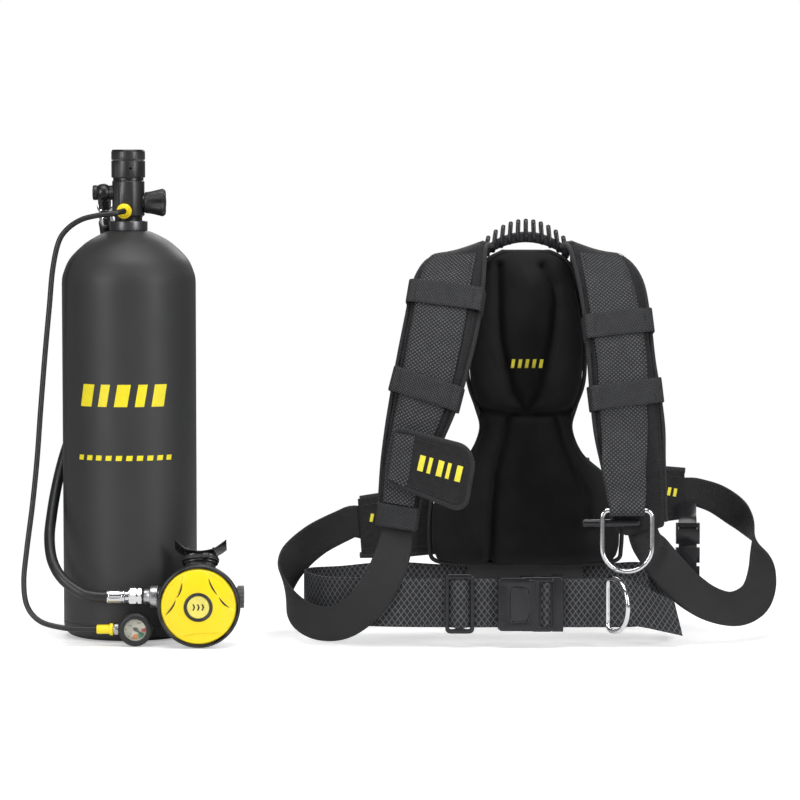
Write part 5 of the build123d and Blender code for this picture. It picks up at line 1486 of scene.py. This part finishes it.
class PadLine:
    """Smooth frames down one shoulder pad; side is -1 for the left one."""

    def __init__(self, points, side):
        places = [Vector(p[:3]) for p in points]
        rolls = (0.34, 0.34, 0.24, 0.1)
        rows = []
        for i, p in enumerate(places):
            along = tangent(places, i)
            yaw = math.radians(side * 10.0 * min(1.0, i / 4.0))
            roll = -side * rolls[i] if i < 4 else 0.0
            across = Vector((math.cos(yaw), math.sin(yaw), roll))
            across = (across - along * across.dot(along)).normalized()
            rows.append((*p, *across, float(points[i][3])))
        self.rows = catmull(rows, PAD_STEPS)
        self.centres = [Vector(r[:3]) for r in self.rows]

    def at(self, station):
        """(centre, across, outward, along, width) at a fractional station."""
        k = max(0.0, min(len(self.rows) - 1.001, station * PAD_STEPS))
        i = int(k)
        u = k - i
        row, after = self.rows[i], self.rows[i + 1]
        centre = self.centres[i].lerp(self.centres[i + 1], u)
        along = tangent(self.centres, i).lerp(tangent(self.centres, i + 1), u).normalized()
        across = Vector(row[3:6]).lerp(Vector(after[3:6]), u)
        across = (across - along * across.dot(along)).normalized()
        return centre, across, along.cross(across), along, lerp(row[6], after[6], u)


def shoulder_cushion(name, line, bands, replaces):
    frames = [line.at(i / PAD_STEPS) for i in range(PAD_END + 1)]
    rings = []
    for i, (centre, across, outward, _, width) in enumerate(frames):
        nearest_end = min(i, PAD_END - i)
        end = math.sqrt(max(0.03, 1 - (1 - min(1.0, (nearest_end + 0.3) / 5.0)) ** 2))
        ring = []
        for ca, sa in circle(56):
            px = (width / 2 - 1.2) * math.copysign(abs(ca) ** 0.45, ca)
            py = 5.2 * end * math.copysign(abs(sa) ** 0.7, sa)
            ring.append(centre + across * px + outward * py)
        rings.append(ring)
    ob = skin(name, rings, "cover_fabric", HARNESS, angle=70, replaces=replaces)
    band_centres = [line.at(station)[0] for station, _ in bands]

    def nearest(p):
        return min(frames, key=lambda f: (f[0] - p).length_squared)

    def shape(p):
        """Pinches the pad under its bands and wrinkles it elsewhere."""
        centre, _, outward, along, _ = nearest(p)
        h = (p - centre).dot(outward)
        pin = max(math.exp(-((p - b).dot(along) / 15.0) ** 2) if (p - b).length < 60 else 0.0
                  for b in band_centres)
        swell = math.copysign(wrinkle(p.x, p.y, p.z, 0.5), h) * (1 - pin)
        new_h = max(-7.2, min(6.5, h * (1 - 0.10 * pin) + swell))
        return p + outward * (new_h - h)

    puff(ob, voxel=3.6, pressure=4.0, limit=3.0, shape=shape,
         outward=lambda p: nearest(p)[2])


left_line, right_line = PadLine(LEFT_PAD, -1), PadLine(RIGHT_PAD, 1)
SIDES = (("left", left_line, LEFT_WEB), ("right", right_line, RIGHT_WEB))

for side_name, line, _ in SIDES:
    shoulder_cushion("shoulder_cushion_" + side_name, line, BANDS[side_name],
                     "shoulder_pads" if side_name == "left" else None)
    for sign, tag in ((-1, "a"), (1, "b")):
        points = []
        for i in range(3, PAD_END - 2, 2):
            centre, across, outward, _, width = line.at(i / PAD_STEPS)
            points.append(centre + across * (sign * (width / 2 - 0.6)) + outward * 0.4)
        tube("pad_binding_%s_%s" % (side_name, tag), points, 2.5, "binding", HARNESS, 14,
             slot="webbing")
        points, normals = [], []
        for i in range(5, PAD_END - 4, 2):
            centre, across, outward, _, width = line.at(i / PAD_STEPS)
            points.append(centre + across * (sign * (width / 2 - 5.4)) + outward * 6.15)
            normals.append(outward)
        stitches("pad_stitch_%s_%s" % (side_name, tag), points, normals)


def web_stations(line, rows):
    out = []
    for station, shift, width in rows:
        centre, across, outward, _, _ = line.at(station)
        out.append((*(centre + across * shift + outward * 8.0), *across, width))
    return out


# the right webbing runs on below its pad and turns up behind itself through a ring
RIGHT_WEB_END = [
    (513.5, -96.4, 186, 1, 0.1, 0, 45), (516.0, -98.0, 160, 1, 0.0, 0, 40),
    (516.5, -103.4, 143.5, 1, 0, 0, 36), (516.5, -103.2, 137.5, 1, 0, 0, 36),
    (516.5, -98.8, 135.6, 1, 0, 0, 36), (516.5, -94.6, 139.0, 1, 0, 0, 36),
    (516.0, -93.6, 150, 1, 0, 0, 38), (514.4, -92.6, 172, 1, 0.05, 0, 40),
]
ribbon("strap_webbing_left", web_stations(left_line, LEFT_WEB), 2.0, "shoulder_webbing",
       across=16, replaces="shoulder_webbing")
ribbon("strap_webbing_right", web_stations(right_line, RIGHT_WEB) + RIGHT_WEB_END, 2.0,
       "shoulder_webbing", across=16)
for side_name, line, rows in SIDES:
    first, last = rows[0][0], rows[-1][0]
    for sign, tag in ((-1, "a"), (1, "b")):
        points, normals = [], []
        for k in range(int((last - first) * 6) + 1):
            station = first + k / 6
            i = min(len(rows) - 2, int(station - first))
            u = station - first - i
            shift = lerp(rows[i][1], rows[i + 1][1], u)
            width = lerp(rows[i][2], rows[i + 1][2], u)
            centre, across, outward, _, _ = line.at(station)
            points.append(centre + across * (shift + sign * (width / 2 - 3.0)) + outward * 9.0)
            normals.append(outward)
        stitches("web_stitch_%s_%s" % (side_name, tag), points, normals)


def wrap_band(name, line, station, height=26.0, lift=10.4, extra=1.9, tilt=0.0, **told):
    """Band passed round the pad and the webbing on it, with a stitched bar at each side."""
    centre, across, outward, along, width = line.at(station)
    half, low = width / 2 + extra, -8.0
    section = round_poly([(-half, low), (half, low), (half, lift - 1.6), (half - 7, lift),
                          (-half + 7, lift), (-half, lift - 1.6)], 3.2, 4)
    stations = []
    for p in densify(section, 5):
        place = centre + across * p.x + outward * p.y + along * (tilt * p.x / half)
        stations.append((*place, *along, height))
    ribbon(name, stations, 1.7, "band_webbing", step=4.0, across=8, closed=True, **told)
    for sign in (-1, 1):
        edge = centre + across * (sign * (half - 9)) + outward * (lift + 1.0)
        points = [edge + along * ((height / 2 - 3) * (1 - 2 * j / 8)) for j in range(9)]
        stitches("%s_bar_%d" % (name, sign + 1), points, [outward] * 9, pitch=2.0, length=1.7)


for side_name, line, _ in SIDES:
    for tag, (station, tilt) in zip(("upper", "lower"), BANDS[side_name]):
        name = "cross_band_%s_%s" % (side_name, tag)
        wrap_band(name, line, station, tilt=tilt,
                  replaces="cross_bands" if name == "cross_band_left_upper" else None)
wrap_band("strap_keeper_band", left_line, 9.6, height=24.0, lift=8.0, extra=1.4)

# ---------------------------------------------------------------------------
# Hose keeper: a padded flap on the left shoulder pad, turned 10 degrees
# ---------------------------------------------------------------------------
yaw = math.radians(-10.0)
keeper_place = basis((294.0, -92.4, 185.0), (math.cos(yaw), math.sin(yaw), 0),
                     (math.sin(yaw), -math.cos(yaw), 0))
keeper_turn = keeper_place.to_3x3()
keeper_normal = (keeper_turn @ Vector((0, 0, 1))).normalized()
keeper_poly = round_poly([(-14.3, 39.0), (-23.2, -14.2), (50.0, -41.6), (58.2, -37.0),
                          (66.0, 5.3), (58.4, 21.3)], [7, 7, 7, 7, 9, 9])
keeper_centre = sum((Vector(p) for p in keeper_poly), Vector((0, 0))) / len(keeper_poly)


def keeper_bend(q):
    wave = 1.1 * math.sin((q.x + 20) / 85 * math.pi)
    return (q.x, q.y, q.z + wave + 0.35 * math.sin(q.y * 0.16 + q.x * 0.05))


def on_keeper(x, y, z):
    return keeper_place @ Vector(keeper_bend(Vector((x, y, z))))


def inset(p, d):
    v = Vector(p) - keeper_centre
    return keeper_centre + v * (1 - d / v.length)


pillow("keeper_flap", keeper_poly, 5.4, 2.6, keeper_place @ Matrix.Translation((0, 0, 2.3)),
       "cover_fabric", "keeper", keeper_bend, bulge=0.12, slot="webbing",
       replaces="hose_keeper")
tube("keeper_binding", [on_keeper(p.x, p.y, 2.3) for p in densify(keeper_poly, 4)], 3.0,
     "binding", "keeper", 14, closed=True)
seam = [on_keeper(p.x, p.y, 5.25) for p in densify([inset(p, 6.5) for p in keeper_poly], 4)]
stitches("keeper_stitch", seam + seam[:1], [keeper_normal] * (len(seam) + 1), "keeper")
keeper_across = keeper_turn @ Vector((1, -0.25, 0))
ribbon("keeper_webbing", [
    (*on_keeper(x, y, 5.7), *keeper_across, 21)
    for x, y in ((-4.2, 33.5), (-6.6, 18), (-9.0, 3), (-11.2, -11), (-13.0, -16.0))
], 1.2, "shoulder_webbing", "keeper", across=10)
keeper_bars = []
for i in range(5):
    cx = 8.5 + i * 9.6
    cy = 5.4 - 2.55 * i
    w = 5.8 if i % 2 == 0 else 3.8
    keeper_bars.append([(cx, cy - 8.4), (cx + w, cy - 8.4 - w * 0.27),
                        (cx + w + 3.8, cy + 7.6 - w * 0.27), (cx + 3.8, cy + 7.6)])
plate("keeper_mark", keeper_bars, 1.0, 0.35, keeper_place @ Matrix.Translation((0, 0, 6.4)),
      "yellow_thread", "keeper", 1,
      warp=lambda p: (p.x, p.y, p.z + 0.8 * math.sin((p.x + 20) / 85 * math.pi) - 0.6))

# ---------------------------------------------------------------------------
# Loop straps and side tabs
# ---------------------------------------------------------------------------
# (x, y, z, across x, y, z, width) from the shoulder pad's foot round to the side tab
LEFT_LOOP = [
    (283.5, -79.5, 146.0, 1, 0, 0, 28), (281.0, -79.0, 122.5, 1, 0, 0, 30),
    (279.6, -85.0, 108.0, 1, 0, -0.08, 34), (275.0, -95.0, 90.0, 0.95, 0, -0.3, 37),
    (264.0, -103.0, 66.0, 0.84, 0, -0.52, 38), (247.0, -105.0, 42.5, 0.68, 0.05, -0.72, 38),
    (222.0, -99.0, 25.5, 0.4, 0.1, -0.9, 38), (194.0, -83.0, 24.0, 0.15, 0.1, -0.98, 38),
    (173.0, -60.0, 36.0, 0.12, -0.05, -0.98, 38), (164.0, -31.0, 56.0, 0.2, -0.2, -0.95, 37),
    (171.0, -2.0, 77.0, 0.28, -0.2, -0.93, 36), (194.0, 17.0, 97.0, 0.3, -0.12, -0.94, 35),
    (224.0, 26.0, 112.0, 0.25, 0, -0.96, 34), (235.5, 28.0, 116.0, 0.2, 0, -0.97, 34),
    (250.0, 29.4, 113.0, 0.1, 0, -1, 34),
]
RIGHT_LOOP = [
    (529.5, -79.5, 140.0, 1, 0, 0.1, 30), (536.0, -78.0, 110.4, 1, 0, 0.2, 32),
    (545.0, -84.0, 97.0, 0.86, 0, 0.5, 36), (560.0, -89.0, 78.0, 0.78, 0.05, 0.62, 38),
    (581.0, -86.0, 57.0, 0.66, 0.25, 0.7, 38), (606.0, -76.0, 41.0, 0.45, 0.5, 0.74, 38),
    (633.0, -60.0, 34.5, 0.15, 0.62, 0.76, 38), (655.0, -39.0, 44.0, -0.1, 0.5, 0.85, 37),
    (664.0, -18.0, 68.0, -0.35, 0.3, 0.88, 36), (660.0, -2.0, 95.0, -0.42, 0.1, 0.9, 35),
    (645.0, 11.0, 121.0, -0.3, -0.05, 0.95, 34), (622.0, 19.0, 139.0, -0.12, 0, 0.99, 32),
    (600.0, 24.0, 147.0, 0, 0, 1, 30), (590.0, 25.5, 148.0, 0, 0, 1, 30),
    (574.0, 29.0, 147.0, 0, 0, 1, 30),
]
# (x, y, z, width) outwards from the back pad
LEFT_TAB = [(321, 38, 116, 66), (303, 36.7, 114.5, 66), (285, 35, 113, 66),
            (262, 31.6, 111.4, 63), (241.5, 28.5, 110, 60)]
RIGHT_TAB = [(513, 38, 138, 54), (532, 36.4, 141, 56), (550, 34, 144, 56),
             (568, 30.9, 145.2, 52), (586, 27.5, 146, 48)]

ribbon("loop_strap_left", LEFT_LOOP, 2.2, "loop_webbing", across=14, replaces="loop_straps")
ribbon("loop_strap_right", RIGHT_LOOP, 2.2, "loop_webbing", across=14)


def side_tab(name, rows, **told):
    ribbon(name, upright(rows), 6.4, "cover_fabric", step=5, across=10, **told)
    for sign in (-1, 1):
        edge = catmull([(x, y, z + sign * w / 2) for x, y, z, w in rows], 8)
        tube("%s_binding_%d" % (name, sign + 1), edge, 3.3, "binding", HARNESS, 12)
        seam = catmull([(x, y, z + sign * (w / 2 - 7)) for x, y, z, w in rows], 8)
        stitches("%s_stitch_%d" % (name, sign + 1), [(x, y - 3.4, z) for x, y, z in seam],
                 [(0, -1, 0)] * len(seam))


side_tab("side_tab_left", LEFT_TAB, replaces="side_tabs")
side_tab("side_tab_right", RIGHT_TAB)
for x, y, z, degrees, side_name in ((263, 28.0, 120, 8.0, "left"),
                                    (566, 27.6, 150, -10.0, "right")):
    a = math.radians(degrees)
    place = basis((x, y - 0.1, z), (math.cos(a), math.sin(a), 0),
                  (math.sin(a), -math.cos(a), 0))
    tab_bars = []
    for k in range(4):
        cx = k * 6.2 - 9.3
        tab_bars.append([(cx - 2.2, -4 - k), (cx + 1.2, -4.6 - k), (cx + 2.8, 4 - k),
                         (cx - 0.6, 4.6 - k)])
    plate("tab_mark_" + side_name, tab_bars, 0.9, 0.3, place, "yellow_thread", HARNESS, 1)

# ---------------------------------------------------------------------------
# Waist belt
# ---------------------------------------------------------------------------
# (x, y) from the buckle leftwards, round the back and forwards on the right
BELT_PATH = [
    (391, -97), (355, -97), (318, -97), (280, -94.5), (240, -86), (206, -66), (186, -34),
    (190, 2), (222, 30), (275, 40.6), (335, 41.9), (417, 41.9), (499, 41.9), (535, 38),
    (560, 20), (570, -12), (566, -48), (550, -76), (528, -92), (505, -97), (475, -97),
    (444, -97),
]


def belt_sway(x, y):
    """The belt waves up and down at its sides and back."""
    return 1.6 * math.sin(x * 0.05) if y > 20 or x < 230 or x > 540 else 0.0


ribbon("belt_webbing_loop",
       upright([(x, y, BELT_Z + belt_sway(x, y), 50) for x, y in BELT_PATH]),
       2.4, "belt_webbing", across=18, replaces="waist_belt")
ribbon("belt_doubled_left", upright([
    (392, -99.8, 45, 49), (370, -100.0, 45, 49.5), (340, -99.9, 45, 49.5),
    (312, -99.8, 45.4, 49.5), (286, -98.7, 45.6, 49.5), (262, -96.4, 46, 49),
]), 2.2, "belt_webbing", across=18)
ribbon("belt_tail_right", [
    (452, -98.6, 45, 0, 0, 1, 49), (470, -99.9, 45, 0, 0, 1, 49.5),
    (492, -100.6, 46.0, 0, 0, 1, 49.5), (513.7, -101.6, 47.4, -0.07, 0, 1, 49.7),
    (532, -101.9, 42.5, -0.12, 0, 1, 45), (550, -101.2, 36.2, -0.18, 0, 1, 41),
    (569.6, -99.4, 29.0, -0.24, 0, 0.97, 36.5),
], 2.2, "belt_webbing", across=18, skew=True)
for sign in (-1, 1):
    stitches("belt_stitch_%d" % (sign + 1),
             [(x, -101.2, BELT_Z + sign * 21.0) for x in range(300, 333, 4)],
             [(0, -1, 0)] * 9)
# stitched box with one diagonal where the belt is doubled
box_corners = [(303, 29), (325, 29), (325, 61), (303, 61), (303, 29), (325, 61)]
stitches("belt_box_stitch", [(x, -101.25, z) for x, z in box_corners], [(0, -1, 0)] * 6)

# slider with two webbing slots; the webbing passes over its middle bar
slider = middle("belt_slider")
plate("slider_frame", [rect(0, 0, 30.0, 61.5, 6.0), rect(-7.6, 0, 6.6, 52.0, 2.0),
                       rect(7.6, 0, 6.6, 52.0, 2.0)],
      4.6, 1.5, facing_front(slider.x, -103.2, slider.z), "gloss_black_plastic", "slider", 4,
      replaces="belt_slider")
over_bar = [(-12.5, -101.0), (-9, -102.0), (-5.6, -105.0), (-2.5, -106.6)]
over_bar += [(-dx, y) for dx, y in reversed(over_bar)]
ribbon("slider_webbing", upright([(slider.x + dx, y, BELT_Z, 49) for dx, y in over_bar]),
       1.6, "belt_webbing", "slider", step=1.2)

# buckles and the ring's retainer: the CAD shapes with softened edges
refine_all({"buckle_female": 0.7, "buckle_male": 0.7, "side_buckle": 0.6,
            "ring_retainer": 0.4}, "gloss_black_plastic")


def box_front(node):
    """Middle x and front y of a node's box."""
    low, high = box_mm(node)
    return (low.x + high.x) / 2, low.y


female_x, female_y = box_front("buckle_female")
male_x, male_y = box_front("buckle_male")
shell = [(-19.3, -27.5), (8, -27.5), (13, -24.5), (19.2, -26.0), (19.2, 26.0), (13, 24.5),
         (8, 27.5), (-19.3, 27.5)]
window = [(-5, -19), (11, -17), (13.5, -8), (13.5, 8), (11, 17), (-5, 19), (-7.5, 12),
          (-7.5, -12)]
tongue = [(-6.6, -18), (10.4, -16), (12.8, -7.6), (12.8, 7.6), (10.4, 16), (-6.6, 18)]
plate("buckle_shell", [round_poly(shell, 4.5), round_poly(window, 3.5)], 2.6, 1.1,
      facing_front(female_x, female_y - 0.4, BELT_Z), "gloss_black_plastic", HARNESS, 4)
plate("buckle_tongue", [round_poly(tongue, 3.0)], 1.8, 0.8,
      facing_front(female_x, female_y - 0.1, BELT_Z), "black_plastic", HARNESS)
for k in range(3):
    plate("buckle_ridge_%d" % k, [rect(-11.5 - 2.6 * k, 0, 1.3, 38, 0.6)], 1.6, 0.5,
          facing_front(female_x, female_y - 1.9, BELT_Z), "gloss_black_plastic", HARNESS, 2)
plate("buckle_male_frame", [rect(0, 0, 26.4, 56.5, 6.0), rect(0.4, 0, 5.6, 46, 1.8),
                            rect(8.8, 0, 4.6, 46, 1.6)],
      3.6, 1.4, facing_front(male_x, male_y - 0.9, BELT_Z), "gloss_black_plastic",
      "buckle_male", 4)
# (x, y) from the middle and front of the male half
through_male = [(-1.6, 1.6), (1.2, -0.6), (3.2, -3.1), (5.6, -3.4), (7.4, -1.4), (9.2, 1.6)]
ribbon("buckle_male_webbing",
       upright([(male_x + dx, male_y + dy, BELT_Z, 44.6) for dx, dy in through_male]),
       1.4, "belt_webbing", "buckle_male", step=1.0)


# ---------------------------------------------------------------------------
# D rings
# ---------------------------------------------------------------------------
def ring_path(centre, bar, out, half, corner, depth):
    """D shape: a straight bar through centre, two arms and a half circle towards out."""
    centre, bar, out = Vector(centre), Vector(bar).normalized(), Vector(out).normalized()
    arms = depth - half
    path = [(lerp(-half + corner, half - corner, i / 8), 0) for i in range(9)]
    for i in range(1, 7):
        a = math.radians(-90 + 90 * i / 6)
        path.append((half - corner + corner * math.cos(a), corner + corner * math.sin(a)))
    path += [(half, lerp(corner, arms, i / 4)) for i in range(1, 5)]
    for i in range(1, 24):
        a = math.radians(180 * i / 24)
        path.append((half * math.cos(a), arms + half * math.sin(a)))
    path += [(-half, lerp(arms, corner, i / 4)) for i in range(4)]
    for i in range(6):
        a = math.radians(180 + 90 * i / 6)
        path.append((-half + corner + corner * math.cos(a), corner + corner * math.sin(a)))
    return [centre + bar * u + out * v for u, v in path]


swing = math.radians(27)
tube("shoulder_ring_wire",
     ring_path((516.5, -99, 140.6), (1, 0, 0), (0, 0, -1), half=25.5, corner=7, depth=63),
     2.5, "chrome", "strap_ring", 24, closed=True, replaces="shoulder_d_ring")
tube("belt_ring_wire",
     ring_path((497, -101.5, BELT_Z), UP, (math.sin(swing), -math.cos(swing), 0),
               half=27, corner=7, depth=40),
     2.5, "chrome", "belt_ring", 24, closed=True, replaces="belt_d_ring")

# ---------------------------------------------------------------------------
# Carrying handle: an arch with a row of fins
# ---------------------------------------------------------------------------
HANDLE_Y, HANDLE_Z = 39.0, 400.0
FOOT_Z = 396.5                                 # lower ends of the arch
ARCH_OUT, ARCH_IN = 46, 38                     # its outer and inner half widths

arch = [(ARCH_OUT * a, 405 + 18 * (1 - a * a)) for a in (-1 + 2 * i / 24 for i in range(25))]
arch += [(ARCH_OUT, FOOT_Z), (ARCH_IN, FOOT_Z), (ARCH_IN, 400)]
arch += [(ARCH_IN * a, 400 + 11.5 * (1 - a * a))
         for a in (1 - 2 * i / 24 for i in range(1, 24))]
arch += [(-ARCH_IN, 400), (-ARCH_IN, FOOT_Z), (-ARCH_OUT, FOOT_Z)]
plate("handle_core", [[(x, z - HANDLE_Z) for x, z in arch]], 12.0, 2.6,
      facing_front(PACK_X, HANDLE_Y, HANDLE_Z), "black_plastic", "handle", 4,
      replaces="carry_handle")
fin = round_poly([(-8.5, -12), (8.5, -12), (8.5, 9), (4.5, 13.2), (-4.5, 13.2), (-8.5, 9)],
                 5.5, 6)
for i in range(11):
    fin_x = -41.5 + 8.3 * i
    fin_top = 436.8 - 19.0 * (fin_x / 43.0) ** 2
    place = basis((PACK_X + fin_x, HANDLE_Y, fin_top - 13.2), (0, 1, 0),
                  (1, 0, fin_x / 240.0))
    plate("handle_fin_%02d" % i, [fin], 4.4, 1.9, place, "gloss_black_plastic", "handle", 4)
for sign in (-1, 1):
    lathe("handle_pin_%d" % (sign + 1),
          [(0, 0), (2.5, 0), (2.5, 11.2), (3.9, 11.3), (4.0, 12.4), (3.2, 13.2), (0, 13.4)],
          (PACK_X + sign * 42, HANDLE_Y, HANDLE_Z), (sign, 0, 0), "steel", "handle", n=32)

# ---------------------------------------------------------------------------
# Tank straps: two bands behind the back plate that hold the cylinder
# ---------------------------------------------------------------------------
STRAP_Y, STRAP_R, STRAP_SIDE = 118.6, 71.75, 54.35     # circle centre y, radius, side x

strap_flat = [(-50.0, 34.4), (-25, 34.4), (0, 34.4), (25, 34.4), (50.0, 34.4), (53.4, 35.4),
              (STRAP_SIDE, 38.5), (STRAP_SIDE, 50), (STRAP_SIDE, 62)]
leave = math.degrees(math.acos(STRAP_SIDE / STRAP_R))
strap_arc = []
for i in range(37):
    a = math.radians(lerp(-leave, 180 + leave, i / 36))
    strap_arc.append((STRAP_R * math.cos(a), STRAP_Y + STRAP_R * math.sin(a)))
strap_path = strap_flat + strap_arc + [(-x, y) for x, y in reversed(strap_flat[5:])]
for strap_z, tag in ((325.0, "upper"), (150.0, "lower")):
    ribbon("tank_strap_" + tag, upright([(PACK_X + x, y, strap_z, 50) for x, y in strap_path]),
           2.5, "shoulder_webbing", step=3.5, across=14, closed=True,
           replaces="tank_bands" if tag == "upper" else None)
    for sign in (-1, 1):
        normals = [(math.cos(math.radians(a)), math.sin(math.radians(a)), 0)
                   for a in range(-20, 70, 4)]
        points = [(PACK_X + 73.2 * x, STRAP_Y + 73.2 * y, strap_z + sign * 20)
                  for x, y, _ in normals]
        stitches("tank_strap_stitch_%s_%d" % (tag, sign + 1), points, normals)

# ---------------------------------------------------------------------------
# Studio: from here on lengths are in metres
# ---------------------------------------------------------------------------
scene = bpy.context.scene
scene.view_settings.view_transform = "Standard"
scene.view_settings.look = "None"


def floor_material():
    """Pale sheet that fades into the white backdrop away from the object."""
    material = bpy.data.materials.new("pale_floor")
    material.use_nodes = True
    nodes = Nodes(material.node_tree)
    shader = nodes.tree.nodes["Principled BSDF"]
    for key, value in {"Base Color": (0.90, 0.90, 0.90, 1), "Specular IOR Level": 0.2,
                       "Emission Color": (1, 1, 1, 1), "Emission Strength": 0.30}.items():
        shader.inputs[key].default_value = value
    noise = nodes.add("ShaderNodeTexNoise")
    noise.inputs["Scale"].default_value = 3.0
    nodes.feed(shader.inputs["Roughness"], nodes.span(noise.outputs["Fac"], (0.5, 0.6)))
    distance = nodes.add("ShaderNodeVectorMath", operation="LENGTH")
    nodes.feed(distance.inputs[0], nodes.add("ShaderNodeTexCoord").outputs["Object"])
    fade = nodes.span(distance.outputs["Value"], source=(0.35, 1.15),
                      interpolation_type="SMOOTHSTEP")
    # the camera sees both parts brighter than the light they give
    seen = nodes.add("ShaderNodeLightPath").outputs["Is Camera Ray"]
    glow = nodes.add("ShaderNodeEmission")
    glow.inputs[0].default_value = (1, 1, 1, 1)
    nodes.feed(glow.inputs[1], nodes.span(seen, (0.22, 1.0)))
    nodes.feed(shader.inputs["Emission Strength"], nodes.span(seen, (0.0, 0.36)))
    mix = nodes.add("ShaderNodeMixShader")
    for socket, value in zip(mix.inputs, (fade, shader.outputs[0], glow.outputs[0])):
        nodes.feed(socket, value)
    nodes.feed(nodes.tree.nodes["Material Output"].inputs[0], mix.outputs[0])
    return material


def white_world():
    """The camera sees pure white; reflections see a softer grey."""
    world = bpy.data.worlds.new("studio")
    scene.world = world
    world.use_nodes = True
    nodes = Nodes(world.node_tree)
    dim = nodes.tree.nodes["Background"]
    bright = nodes.add("ShaderNodeBackground")
    for background, strength in ((dim, 0.16), (bright, 1.0)):
        background.inputs[0].default_value = (1, 1, 1, 1)
        background.inputs[1].default_value = strength
    seen = nodes.add("ShaderNodeLightPath").outputs["Is Camera Ray"]
    mix = nodes.add("ShaderNodeMixShader")
    for socket, value in zip(mix.inputs, (seen, dim.outputs[0], bright.outputs[0])):
        nodes.feed(socket, value)
    nodes.feed(nodes.tree.nodes["World Output"].inputs[0], mix.outputs[0])


def aim_at(ob, place, target):
    ob.location = place
    ob.rotation_euler = (Vector(target) - Vector(place)).to_track_quat("-Z", "Y").to_euler()


def softbox(name, place, target, width, height, watts):
    light = bpy.data.lights.new(name, "AREA")
    light.shape = "RECTANGLE"
    light.size, light.size_y = width, height
    light.energy = watts
    ob = bpy.data.objects.new(name, light)
    scene.collection.objects.link(ob)
    aim_at(ob, place, target)


bpy.ops.mesh.primitive_plane_add(size=80, location=(0.28, 0.0, -0.0004))
floor = bpy.context.object
floor.name = "floor_sheet"
floor.data.materials.append(floor_material())
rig.stage(floor)
white_world()
softbox("soft_left", (-1.5, -1.9, 0.95), (0.05, 0, 0.28), width=0.5, height=1.5, watts=30)
softbox("soft_right", (2.0, -1.7, 1.0), (0.35, 0, 0.25), width=0.5, height=1.5, watts=32)
softbox("soft_top", (0.3, -0.5, 2.1), (0.28, 0, 0.2), width=1.8, height=1.2, watts=30)
softbox("soft_back", (0.3, 1.9, 1.3), (0.28, 0, 0.25), width=1.8, height=0.8, watts=18)

CAMERA_AIM = Vector((0.284, 0.0, 0.247))
CAMERA_DISTANCE, CAMERA_RISE = 3.6, math.radians(4.0)
VIEW_WIDTH = 0.84                              # width in view at the aim point
SENSOR = 36.0                                  # in millimetres

camera_data = bpy.data.cameras.new("camera")
camera = bpy.data.objects.new("camera", camera_data)
scene.collection.objects.link(camera)
aim_at(camera, CAMERA_AIM + Vector((0, -CAMERA_DISTANCE * math.cos(CAMERA_RISE),
                                    CAMERA_DISTANCE * math.sin(CAMERA_RISE))), CAMERA_AIM)
camera_data.sensor_width = SENSOR
camera_data.lens = SENSOR * CAMERA_DISTANCE / VIEW_WIDTH
scene.camera = camera

VIS_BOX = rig.bounds()
with open("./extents.json", "w") as fh:
    json.dump({"cad": [list(CAD_BOX[0]), list(CAD_BOX[1])], "visual": [list(VIS_BOX[0]), list(VIS_BOX[1])]}, fh, indent=1)
